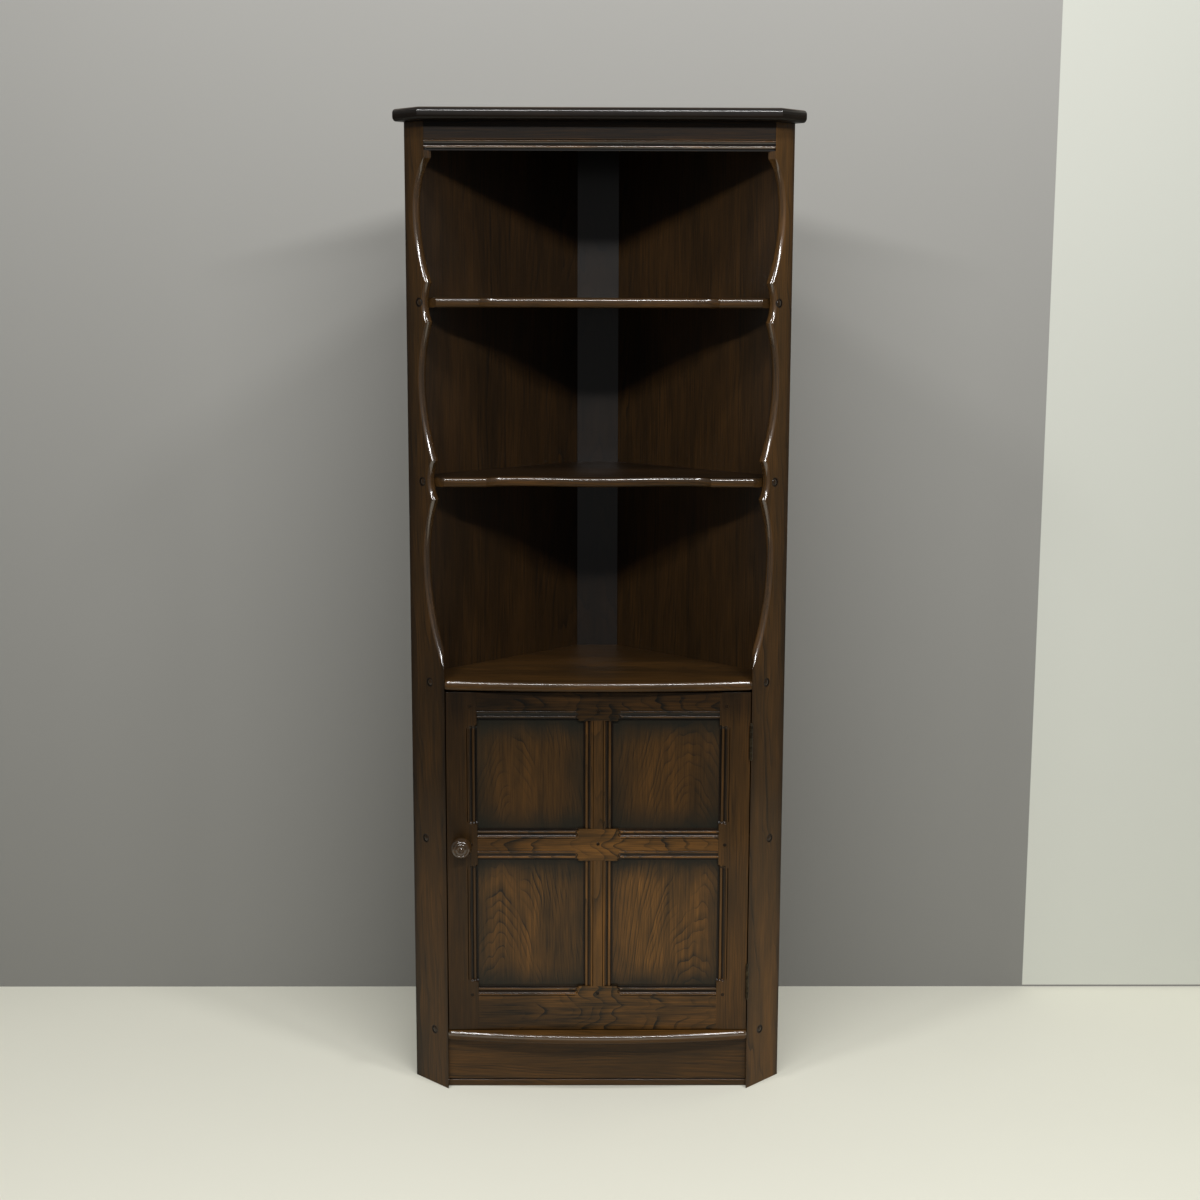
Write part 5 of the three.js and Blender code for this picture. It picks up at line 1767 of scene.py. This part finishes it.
@dataclass
class DoorFrame:
    """The door's stiles, rails and muntins, their pegs and the flat panels they hold."""

    plan: Plan
    moulding: Moulding
    thickness: float = 0.020
    stile_width: float = 0.057
    top_rail: float = 0.054
    middle_rail: float = 0.0615
    bottom_rail: float = 0.086
    muntin_width: float = 0.056
    lower_sight: float = 0.2475
    stop_length: float = 0.008
    panel_setback: float = 0.008
    panel_thickness: float = 0.006
    panel_tongue: float = 0.008
    panel_arris: float = 0.0005
    arris: float = 0.0008
    arris_steps: int = 4
    shoulder_fall: float = 0.0003
    peg_radius: float = 0.003
    peg_gap: float = 0.00025
    peg_edge: float = 0.0004
    rail_peg_inset: float = 0.012
    top_rail_peg_drop: float = 0.027
    bottom_rail_peg_drop: float = 0.017
    muntin_peg_inset: float = 0.017
    middle_muntin_peg_inset: float = 0.029
    heart_distance: float = 0.07
    figure_lean: float = 0.2
    # Where the grain's peaks stand on each panel, as shares of its width and height
    figure_places: dict[str, tuple[float, float]] = field(
        default_factory=lambda: {
            "door_upper_left_panel": (0.3, 0.1),
            "door_upper_right_panel": (0.7, 0.25),
            "door_lower_left_panel": (0.2, 0.05),
            "door_lower_right_panel": (0.8, 0.45),
        }
    )

    def __post_init__(self) -> None:
        """Works out the door's main lines. Heights count from its foot, except the foot's own."""
        self.bottom, top = levels("door_left_stile")
        self.height = top - self.bottom
        self.half_width = self.plan.half_doorway - self.plan.door_gap
        self.sight_half = self.half_width - self.stile_width
        self.muntin_half = self.muntin_width / 2
        self.middle_low = self.bottom_rail + self.lower_sight
        self.middle_high = self.middle_low + self.middle_rail
        self.top_low = self.height - self.top_rail
        self.rows = {
            "upper": (self.middle_high, self.top_low),
            "lower": (self.bottom_rail, self.middle_low),
        }
        self.peg_x = self.sight_half + self.rail_peg_inset
        self.rail_pegs = {
            "top": self.height - self.top_rail_peg_drop,
            "middle": self.middle_low + self.middle_rail / 2,
            "bottom": self.bottom_rail - self.bottom_rail_peg_drop,
        }
        self.muntin_pegs = {
            "top": self.top_low + self.muntin_peg_inset,
            "middle": self.middle_high - self.middle_muntin_peg_inset,
            "bottom": self.bottom_rail - self.muntin_peg_inset + self.peg_radius,
        }

    def section(self, width: float, low_moulded: bool, high_moulded: bool) -> Section:
        """Makes a member's section, with a moulding or a small round on each front arris.

        Args:
            width: the member's width.
            low_moulded: whether its first edge is moulded.
            high_moulded: whether its second edge is moulded.

        Returns:
            The section, in order round the member.
        """
        across, sunk = self.moulding.profile().T
        depth, inset = (self.arris * share for share in quarter_round(self.arris_steps))
        low_front = np.stack([depth, inset], -1)
        high_front = np.stack([width - depth, inset], -1)[::-1]
        if low_moulded:
            low_front = np.stack([self.moulding.width - across, sunk], -1)[::-1]
        if high_moulded:
            high_front = np.stack([width - self.moulding.width + across, sunk], -1)
        high_back = np.stack([width - inset, self.thickness - depth], -1)[::-1]
        low_back = np.stack([inset, self.thickness - depth], -1)
        parts = [low_front, high_front, high_back, low_back]
        moulded = [low_moulded, high_moulded, False, False]
        flags = [np.full(len(part), flag) for part, flag in zip(parts, moulded)]
        points = np.concatenate(parts)
        return Section(points[:, 0], points[:, 1], np.concatenate(flags))

    def member(
        self, section: Section, low: float, high: float, stops: list[tuple[float, float]]
    ) -> np.ndarray:
        """Runs a section along a member.

        A worked point lies at the profile's depth less the cutter's lift, and never in front of
        the face. The section at each end falls back a little, so that the shoulder shows as a
        fine line.

        Args:
            section: the member's section.
            low: where the member starts.
            high: where it ends.
            stops: the moulded runs.

        Returns:
            Points of shape (stations, points, 3) as (along, across, depth).
        """
        along = self.moulding.stations(low, high, stops)
        lift = self.moulding.lift(along, stops)
        cut = np.maximum(0, section.depth[None, :] - lift[:, None])
        depth = np.where(section.is_worked[None, :], cut, section.depth[None, :])
        ends = np.isclose(along, low) | np.isclose(along, high)
        front = depth < self.thickness / 2
        depth = depth + np.where(ends[:, None] & front, self.shoulder_fall, 0)
        across = np.broadcast_to(section.across, depth.shape)
        return np.stack([np.broadcast_to(along[:, None], depth.shape), across, depth], -1)

    def upright(self, grid: np.ndarray, first_x: float) -> Shell:
        """Stands a member up: across runs along x from first_x, along runs up."""
        x = first_x + grid[..., 1]
        y = self.plan.shift + grid[..., 2]
        return Shell.lofted(np.stack([x, y, self.bottom + grid[..., 0]], -1))

    def level(self, grid: np.ndarray, first_z: float) -> Shell:
        """Lays a member level: along runs along x, across runs up from first_z."""
        y = self.plan.shift + grid[..., 2]
        return Shell.lofted(np.stack([grid[..., 0], y, self.bottom + first_z + grid[..., 1]], -1))

    def block(self, x: tuple, z: tuple) -> Shell:
        """Returns a groove's or a tenon's block, as thick as the panels with their clearance."""
        front = self.plan.shift + self.panel_setback - FIT_GAP
        back = self.plan.shift + self.panel_setback + self.panel_thickness + FIT_GAP
        return Shell.box((x[0], front, self.bottom + z[0]), (x[1], back, self.bottom + z[1]))

    def peg_hole(self, x: float, z: float) -> Shell:
        """Returns the hole for a joint peg, through the whole door."""
        radius, end = self.peg_radius + self.peg_gap, self.thickness + OVERRUN
        return Shell.rod(radius, -OVERRUN, end, HOLE_SIDES).moved(self.facing(x, z))

    def facing(self, x: float, z: float) -> Matrix:
        """Returns a frame on the door's face whose z axis runs into the door."""
        place = Matrix.Translation((x, self.plan.shift, self.bottom + z))
        return place @ Matrix.Rotation(-QUARTER, 4, "X")

    def stile_mesh(self, side: Side, extra: list[Shell]) -> bpy.types.Mesh:
        """Makes a stile, with its grooves and peg holes and what else is cut from it."""
        stop = self.stop_length
        stops = [(low + stop, high - stop) for low, high in self.rows.values()]
        left = side is Side.LEFT
        section = self.section(self.stile_width, not left, left)
        grid = self.member(section, 0, self.height, stops)
        shell = self.upright(grid, -self.half_width if left else self.sight_half)
        reach = self.panel_tongue + FIT_GAP
        x = side.span(self.sight_half - OVERRUN, self.sight_half + reach)
        tools = [self.block(x, (low - reach, high + reach)) for low, high in self.rows.values()]
        tools += [self.peg_hole(side.value * self.peg_x, z) for z in self.rail_pegs.values()]
        return worked(shell.mesh("stile"), tools + extra)

    def rail_mesh(
        self, place: str, low: float, high: float, low_edge: bool, high_edge: bool
    ) -> bpy.types.Mesh:
        """Makes a rail, moulded on the edges that hold panels, with its grooves and peg hole."""
        inner = self.muntin_half + self.stop_length
        outer = self.sight_half + self.moulding.run_out + OVERRUN
        stops = [(-outer, -inner), (inner, outer)]
        section = self.section(high - low, low_edge, high_edge)
        grid = self.member(section, -self.sight_half, self.sight_half, stops)
        reach = self.panel_tongue + FIT_GAP
        span = (-self.sight_half - OVERRUN, self.sight_half + OVERRUN)
        tools = []
        if low_edge:
            tools.append(self.block(span, (low - OVERRUN, low + reach)))
        if high_edge:
            tools.append(self.block(span, (high - reach, high + OVERRUN)))
        tools.append(self.peg_hole(0, self.muntin_pegs[place]))
        return worked(self.level(grid, low).mesh("rail"), tools)

    def muntin_mesh(self, low: float, high: float) -> bpy.types.Mesh:
        """Makes a muntin, moulded on both edges, with its grooves."""
        section = self.section(self.muntin_width, True, True)
        beyond = self.moulding.run_out + OVERRUN
        grid = self.member(section, low, high, [(low - beyond, high + beyond)])
        reach = self.panel_tongue + FIT_GAP
        run = (low - OVERRUN, high + OVERRUN)
        half = self.muntin_half
        tools = [self.block((half - reach, half + OVERRUN), run)]
        tools.append(self.block((-half - OVERRUN, -half + reach), run))
        return worked(self.upright(grid, -half).mesh("muntin"), tools)

    def build(self, bench: Bench, stile_cuts: dict[Side, list[Shell]]) -> None:
        """Builds the frame, its panels and its pegs.

        Args:
            bench: where the pieces are finished.
            stile_cuts: what is cut from each stile for the knob and the hinges.
        """
        face = Face((0, 1, 0), self.plan.shift, self.thickness, is_moulded=True)

        def member(name: str, mesh: bpy.types.Mesh, timber: Timber, **changes: float) -> None:
            """Finishes a member of the frame, its wood changed where it differs."""
            finish = wood(Slot.DOOR, STRENGTHS[name], **changes)
            # The frame members share one painted light and shade over the door.
            bench.wooden(name, mesh, Body.DOOR, finish, timber, face=face, changes=DOOR_PAINTED_LIGHT)

        for side, seed in ((Side.LEFT, 16.2), (Side.RIGHT, 18.3)):
            mesh = self.stile_mesh(side, stile_cuts[side])
            timber = Timber(Lie.UPRIGHT, heart_across=0.2 * side.value, heart_depth=0.08, seed=seed)
            member(f"door_{side.word}_stile", mesh, timber, edge_coat=0.1)
        for place, low, high, low_edge, high_edge, seed in (
            ("top", self.top_low, self.height, True, False, 20.9),
            ("middle", self.middle_low, self.middle_high, True, True, 22.8),
            ("bottom", 0.0, self.bottom_rail, False, True, 24.1),
        ):
            mesh = self.rail_mesh(place, low, high, low_edge, high_edge)
            centre = -(self.bottom + (low + high) / 2)
            timber = Timber(Lie.RAIL, heart_across=centre, heart_depth=0.24, lean=0.14, seed=seed)
            member(f"door_{place}_rail", mesh, timber, edge_coat=0.12, contrast=1.7)
        for row, (low, high) in self.rows.items():
            timber = Timber(Lie.UPRIGHT, seed=26.0 + low * 7)
            member(f"door_{row}_muntin", self.muntin_mesh(low, high), timber, edge_coat=0.1)
            self.build_panels(bench, row, low, high)
        self.build_pegs(bench)

    def build_panels(self, bench: Bench, row: str, low: float, high: float) -> None:
        """Builds the two flat panels of a row."""
        inner = self.muntin_half - self.panel_tongue
        outer = self.sight_half + self.panel_tongue
        front = self.plan.shift + self.panel_setback
        back = front + self.panel_thickness
        bottom = self.bottom + low - self.panel_tongue
        top = self.bottom + high + self.panel_tongue
        for side in Side:
            name = f"door_{row}_{side.word}_panel"
            x = side.span(inner, outer)
            mesh = Shell.box((x[0], front, bottom), (x[1], back, top)).mesh(name)
            sight_x = side.span(self.muntin_half, self.sight_half)
            shade = Shade((sight_x[0], self.bottom + low), (sight_x[1], self.bottom + high))
            across, up = self.figure_places[name]
            level = self.bottom + low + up * (high - low)
            timber = Timber(
                Lie.UPRIGHT,
                heart_across=-(sight_x[0] + across * (sight_x[1] - sight_x[0])),
                heart_depth=self.heart_distance - front - self.figure_lean * level,
                lean=self.figure_lean,
                seed=30.0 + low * 9 + side.value,
            )
            finish = wood(Slot.PANEL, STRENGTHS[name], contrast=PANEL_CONTRASTS[row])
            bench.wooden(name, mesh, Body.DOOR, finish, timber, self.panel_arris, shade=shade)

    def build_pegs(self, bench: Bench) -> None:
        """Builds the nine joint pegs, flush with both faces."""
        places = {f"{key}_muntin_peg": (0.0, z) for key, z in self.muntin_pegs.items()}
        for key, z in self.rail_pegs.items():
            places[f"{key}_rail_left_peg"] = (-self.peg_x, z)
            places[f"{key}_rail_right_peg"] = (self.peg_x, z)
        edge, radius = self.peg_edge, self.peg_radius
        radii = np.array([0, radius - edge, radius, radius])
        heights = np.array([0, 0, edge, self.thickness / 2])
        radii = np.concatenate([radii, radii[:-1][::-1]])
        heights = np.concatenate([heights, self.thickness - heights[:-1][::-1]])
        for name, (x, z) in places.items():
            mesh = Shell.turned(radii, heights, HOLE_SIDES).moved(self.facing(x, z)).mesh(name)
            timber = Timber(Lie.TURNED, seed=40 + x * 3 + z)
            bench.wooden(name, mesh, Body.DOOR, PEG_FINISH, timber)


@dataclass
class Knob:
    """The turned knob on the door's left-hand stile, and the screw behind it."""

    door: DoorFrame
    inset: float = 0.028
    radius: float = 0.0193
    projection: float = 0.036
    foot_radius: float = 0.011
    foot_length: float = 0.003
    neck_radius: float = 0.008
    neck_length: float = 0.008
    rim_length: float = 0.008
    ring_radius: float = 0.0125
    ring_depth: float = 0.0012
    button_radius: float = 0.004
    button_height: float = 0.0016
    button_shares: tuple[float, float] = (0.8, 0.45)
    screw_radius: float = 0.0022
    screw_bite: float = 0.016
    sides: int = 72
    swell_steps: int = 14

    @property
    def place(self) -> tuple[float, float]:
        """X of the knob's middle and its height above the door's foot."""
        middle = self.door.middle_low + self.door.middle_rail / 2
        return -self.door.half_width + self.inset, middle

    def profile(self) -> np.ndarray:
        """Returns the profile as (radius, distance in front of the door).

        The neck swells on a quarter ellipse to the rim, and the face comes back on another one to
        a ring, a groove and a button.
        """
        neck_end = self.foot_length + self.neck_length
        rim = neck_end + self.rim_length
        face = self.projection - self.ring_depth - self.button_height
        angle = np.linspace(0, QUARTER, self.swell_steps + 1)
        swell = [self.neck_radius + (self.radius - self.neck_radius) * np.sin(angle)]
        swell.append(neck_end + self.rim_length * (1 - np.cos(angle)))
        front = [self.ring_radius + (self.radius - self.ring_radius) * np.cos(angle)]
        front.append(rim + (face - rim) * np.sin(angle))
        depth = self.ring_depth
        turned = np.array(
            [
                [self.ring_radius - depth, face - depth],
                [self.ring_radius - 2 * depth, face],
                [self.button_radius + 2 * depth, face + depth],
                [self.button_radius, face],
                [self.button_radius * self.button_shares[0], face + depth],
                [self.button_radius * self.button_shares[1], face + depth + self.button_height],
                [0, face + depth + self.button_height],
            ]
        )
        foot = np.array(
            [
                [self.foot_radius, 0],
                [self.foot_radius, self.foot_length],
                [self.neck_radius, 2 * self.foot_length],
                [self.neck_radius, neck_end - self.foot_length / 2],
            ]
        )
        return np.concatenate([foot, np.stack(swell, -1), np.stack(front, -1)[1:], turned])

    def forwards(self) -> Matrix:
        """Returns the knob's frame: its z axis runs out of the door."""
        x, z = self.place
        door = self.door
        place = Matrix.Translation((x, door.plan.shift, door.bottom + z))
        return place @ Matrix.Rotation(QUARTER, 4, "X")

    def screw_hole(self, low: float, high: float) -> Shell:
        """Returns the hole for the screw between two distances in front of the door."""
        hole = Shell.rod(self.screw_radius + FIT_GAP, low, high, HOLE_SIDES)
        return hole.moved(self.forwards())

    def build(self, bench: Bench) -> None:
        """Builds the knob, bored for its screw, and finishes the screw."""
        name = "door_knob"
        radii, heights = np.concatenate([[[0, 0]], softened(self.profile())]).T
        body = Shell.turned(radii, heights, self.sides).moved(self.forwards())
        bore = self.screw_hole(-OVERRUN, self.screw_bite + FIT_GAP)
        mesh = worked(body.mesh(name), [bore])
        finish = wood(Slot.PLUG, STRENGTHS[name], coat=0.6, coat_roughness=0.1, ripple=0.1)
        bench.wooden(name, mesh, Body.DOOR, finish, Timber(Lie.TURNED, seed=51.3))
        bench.dress("knob_screw", STEEL_FINISH.material("knob_screw"))


# The hinges


@dataclass
class Hinge:
    """A butt hinge: two leaves with their knuckles and a loose pin."""

    plan: Plan
    place: str
    leaf_thickness: float = 0.0015
    leaf_reach: float = 0.019
    pin_offset: float = 0.0034
    knuckle_radius: float = 0.003
    knuckle_gap: float = 0.0003
    knuckles: int = 5
    length: float = 0.065
    bore_radius: float = 0.0016
    pin_radius: float = 0.0013
    tip_radius: float = 0.0024
    tip_length: float = 0.0026
    tip_share: float = 0.7
    tip_steps: int = 7
    notch_gap: float = 0.0006
    sides: int = 32

    @property
    def axis(self) -> Matrix:
        """The frame of the hinge at the middle of its pin."""
        low, high = levels(f"{self.place}_hinge_case_leaf")
        x = self.plan.half_doorway - self.plan.door_gap / 2
        y = self.plan.shift - self.pin_offset
        return Matrix.Translation((x, y, (low + high) / 2))

    def housing(self, side: Side) -> Shell:
        """Returns the space that lets a leaf into the edge on one side of the pin."""
        near = self.plan.door_gap / 2 - OVERRUN
        far = self.plan.door_gap / 2 + self.leaf_thickness + FIT_GAP
        x = side.span(near, far)
        half = self.length / 2 + FIT_GAP
        front, back = self.pin_offset - OVERRUN, self.leaf_reach + FIT_GAP
        return Shell.box((x[0], front, -half), (x[1], back, half)).moved(self.axis)

    def leaf(self, side: Side, first: int) -> bpy.types.Mesh:
        """Makes a leaf: a plate with every second knuckle, bored for the pin.

        Args:
            side: the side of the pin on which the plate lies.
            first: the number of its first knuckle.

        Returns:
            The leaf.
        """
        half = self.length / 2
        pitch = self.length / self.knuckles
        near = self.plan.door_gap / 2
        x = side.span(near, near + self.leaf_thickness)
        plate = Shell.box((x[0], 0, -half), (x[1], self.leaf_reach, half))
        barrels = []
        cuts = [Shell.rod(self.bore_radius, -half - OVERRUN, half + OVERRUN, self.sides)]
        for index in range(self.knuckles):
            low = -half + index * pitch + (self.knuckle_gap / 2 if index else 0)
            last = index == self.knuckles - 1
            high = -half + (index + 1) * pitch - (0 if last else self.knuckle_gap / 2)
            if index % 2 == first:
                barrels.append(Shell.rod(self.knuckle_radius, low, high, self.sides))
            else:
                reach = self.knuckle_radius + self.notch_gap
                low -= self.knuckle_gap if index else OVERRUN
                high += OVERRUN if last else self.knuckle_gap
                cuts.append(Shell.box((-reach, -reach, low), (reach, reach, high)))
        barrels, cuts = ([tool.moved(self.axis) for tool in tools] for tools in (barrels, cuts))
        return worked(worked(plate.moved(self.axis).mesh("leaf"), barrels, Work.JOIN), cuts)

    def pin(self) -> Shell:
        """Returns the pin, the ends of its tips rounded on quarter ellipses."""
        half = self.length / 2 + self.knuckle_gap
        angle = np.linspace(0, QUARTER, self.tip_steps + 1)
        tip_radius = self.tip_radius * np.cos(angle)
        start = half + self.tip_length * (1 - self.tip_share)
        tip_height = start + self.tip_length * self.tip_share * np.sin(angle)
        tip_radius[-1] = 0
        upper_radii = np.concatenate([[self.pin_radius, self.tip_radius], tip_radius])
        upper_heights = np.concatenate([[half, half], tip_height])
        radii = np.concatenate([upper_radii[::-1], upper_radii])
        heights = np.concatenate([-upper_heights[::-1], upper_heights])
        return Shell.turned(radii, heights, self.sides).moved(self.axis)

    def build(self, bench: Bench) -> None:
        """Builds the hinge's two leaves and its pin."""
        for body, side, first in ((Body.CASE, Side.RIGHT, 0), (Body.DOOR, Side.LEFT, 1)):
            name = f"{self.place}_hinge_{body.value}_leaf"
            material = BRASS_FINISH.material(name)
            bench.piece(name, self.leaf(side, first), body, material, (name,))
        name = f"{self.place}_hinge_pin"
        material = BRASS_FINISH.material(name)
        bench.piece(name, self.pin().mesh(name), Body.CASE, material, (name,))


# What the photographer set up


@dataclass(frozen=True)
class Lamp:
    """A soft lamp high in the room, turned to the cupboard."""

    name: str
    place: tuple[float, float, float]
    length: float
    width: float
    power: float

    def hang(self) -> None:
        """Hangs the lamp, facing the cupboard's middle."""
        light = bpy.data.lights.new(self.name, "AREA")
        light.shape = "RECTANGLE"
        light.size = self.length
        light.size_y = self.width
        light.energy = self.power
        item = bpy.data.objects.new(self.name, light)
        place = Vector(self.place)
        middle = Vector((0, 0, sum(corner.z for corner in cad_bounds) / 2))
        turn = (middle - place).to_track_quat("-Z", "Y").to_matrix().to_4x4()
        item.matrix_world = Matrix.Translation(place) @ turn
        bpy.context.scene.collection.objects.link(item)


@dataclass(frozen=True)
class Studio:
    """The floor, the wall, the lamps, the air around and the camera."""

    floor_half_width: float = 2.4
    floor_front: float = -1.7
    wall_y: float = 0.36
    wall_height: float = 3.4
    screen_x: float = 0.94
    screen_gap: float = 0.006
    floor_thickness: float = 0.02
    floor_colour: Colour = (0.77, 0.76, 0.655)
    floor_variation: float = 1.04
    floor_patch_scale: float = 2.0
    floor_roughness: float = 0.6
    wall_patch_scale: float = 1.2
    wall_patch_share: float = 0.1
    wall_roughness: float = 0.8
    # Painted light on the wall and the screen: their colours at the foot and at the top.
    wall_light_falloff: tuple[Colour, Colour] = ((0.205, 0.202, 0.187), (0.35, 0.343, 0.323))
    screen_light_falloff: tuple[Colour, Colour] = ((0.58, 0.59, 0.53), (0.45, 0.457, 0.41))
    air_colour: Colour = (0.13, 0.13, 0.128)
    lamps: tuple[Lamp, ...] = (
        Lamp("front_left", (-1.2, -3.29, 3.37), 2.4, 0.14, 74.0),
        Lamp("front_right", (1.2, -3.29, 3.37), 2.4, 0.14, 98.0),
        Lamp("near_left", (-1.03, -1.17, 3.39), 0.26, 0.26, 17.0),
        Lamp("near_right", (1.03, -1.17, 3.39), 0.26, 0.26, 20.0),
    )
    camera_place: tuple[float, float, float] = (-0.0272, -3.5216, 1.5002)
    camera_pitch: float = math.radians(9.323)
    camera_roll: float = math.radians(0.163)
    camera_yaw: float = math.radians(-0.507)
    camera_lens: float = 55.446
    camera_sensor: float = 36.0

    def build(self) -> None:
        """Sets up the floor, the light and the camera."""
        self.build_floor()
        self.build_wall()
        self.build_air()
        for lamp in self.lamps:
            lamp.hang()
        self.build_camera()
        bpy.context.scene.view_settings.view_transform = "Standard"

    def build_floor(self) -> None:
        """Lays a pale floor, from the wall to well in front of the cupboard."""
        low = (-self.floor_half_width, self.floor_front, -self.floor_thickness)
        shell = Shell.box(low, (self.floor_half_width, self.wall_y, 0))
        graph = Graph("floor")
        place = graph.place()
        patches = graph.noise(place, self.floor_patch_scale, detail=3)
        paler = tuple(value * self.floor_variation for value in self.floor_colour)
        colour = graph.mix(patches, self.floor_colour, paler)
        material = graph.surface({"Base Color": colour, "Roughness": self.floor_roughness})
        self.staged("floor", shell.mesh("floor"), material)

    def build_wall(self) -> None:
        """Stands a grey wall behind the cupboard, and a pale screen before its right-hand end.

        Both are sheets that are only there from the front, so the cupboard shows from behind too.
        """
        end, height, gap = self.floor_half_width, self.wall_height, self.screen_gap
        for name, start, y, foot, colours in (
            ("wall", -end, self.wall_y, 0.0, self.wall_light_falloff),
            ("screen", self.screen_x, self.wall_y - gap, gap, self.screen_light_falloff),
        ):
            corners = [(start, y, foot), (end, y, foot), (end, y, height), (start, y, height)]
            mesh = bpy.data.meshes.new(name)
            mesh.from_pydata(corners, [], [(0, 1, 2, 3)])
            graph = Graph(name)
            place = graph.place()
            # Painted light: each sheet runs from its first colour at the foot to its second at the
            # top, the wall darker low down and the screen darker high up, where less light falls.
            rise = graph.along(place, (0, 0, 1)) / height
            patches = graph.noise(place, self.wall_patch_scale) - 0.5
            varied = graph.mix(rise + patches * self.wall_patch_share, *colours)
            inputs = {"Base Color": varied, "Roughness": self.wall_roughness}
            paint = Flow(graph, graph.node("ShaderNodeBsdfPrincipled", {}, inputs).outputs[0])
            clear = Flow(graph, graph.node("ShaderNodeBsdfTransparent", {}, {}).outputs[0])
            back = Flow(graph, graph.node("ShaderNodeNewGeometry", {}, {}).outputs["Backfacing"])
            seen = graph.node("ShaderNodeMixShader", {}, {0: back, 1: paint, 2: clear})
            graph.tree.links.new(seen.outputs[0], graph.output.inputs["Surface"])
            self.staged(name, mesh, graph.material)

    @staticmethod
    def staged(name: str, mesh: bpy.types.Mesh, material: bpy.types.Material) -> None:
        """Puts up a part of the set."""
        item = bpy.data.objects.new(name, mesh)
        bpy.context.scene.collection.objects.link(item)
        item.data.materials.append(material)

    def build_air(self) -> None:
        """Fills the room with a dim even light."""
        world = bpy.data.worlds.new("air")
        world.use_nodes = True
        world.node_tree.nodes["Background"].inputs["Color"].default_value = (*self.air_colour, 1)
        bpy.context.scene.world = world

    def build_camera(self) -> None:
        """Places the camera as the photograph was taken."""
        sin, cos = math.sin, math.cos
        yaw, pitch, roll = self.camera_yaw, self.camera_pitch, self.camera_roll
        right = Vector((cos(yaw), sin(yaw), 0))
        ahead = Vector((-sin(yaw), cos(yaw), 0))
        up = Vector((0, 0, 1))
        depth = cos(pitch) * ahead - sin(pitch) * up
        rise = sin(pitch) * ahead + cos(pitch) * up
        x_axis = cos(roll) * right + sin(roll) * rise
        y_axis = -sin(roll) * right + cos(roll) * rise
        turn = Matrix((x_axis, y_axis, -depth)).transposed().to_4x4()
        camera = bpy.data.cameras.new("camera")
        camera.lens = self.camera_lens
        camera.sensor_width = self.camera_sensor
        item = bpy.data.objects.new("camera", camera)
        item.matrix_world = Matrix.Translation(self.camera_place) @ turn
        bpy.context.scene.collection.objects.link(item)
        bpy.context.scene.camera = item


def dress_hidden_parts(bench: Bench) -> None:
    """Finishes the glue blocks, the catch and its strike plate, whose own shapes stay."""
    for index, node in enumerate(
        ("left_frieze_block", "right_frieze_block", "left_plinth_block", "right_plinth_block")
    ):
        bench.dress(node, BLOCK_FINISH.material(node, Timber(Lie.RAIL, seed=60.0 + index)))
    bench.dress("door_catch", PLASTIC_FINISH.material("door_catch"))
    bench.dress("catch_strike", STEEL_FINISH.material("catch_strike"))


def main() -> None:
    """Builds the cupboard from its case to its door, then the studio."""
    logging.basicConfig(level=logging.INFO, format="%(name)s %(message)s")
    bench = Bench()
    plan = Plan()
    moulding = Moulding()
    hinges = [Hinge(plan, "upper"), Hinge(plan, "lower")]
    door = DoorFrame(plan, moulding)
    knob = Knob(door)
    SideBoard(plan, Side.LEFT).build(bench, [])
    SideBoard(plan, Side.RIGHT).build(bench, [hinge.housing(Side.RIGHT) for hinge in hinges])
    Back(plan).build(bench)
    Boards(plan).build(bench)
    Frieze(plan, moulding).build(bench)
    Plinth(plan).build(bench)
    door.build(
        bench,
        {
            Side.LEFT: [knob.screw_hole(-door.thickness - OVERRUN, OVERRUN)],
            Side.RIGHT: [hinge.housing(Side.LEFT) for hinge in hinges],
        },
    )
    knob.build(bench)
    for hinge in hinges:
        hinge.build(bench)
    dress_hidden_parts(bench)
    Studio().build()
    log.info("%d pieces made", len(bench.made))


if __name__ == "__main__":
    main()
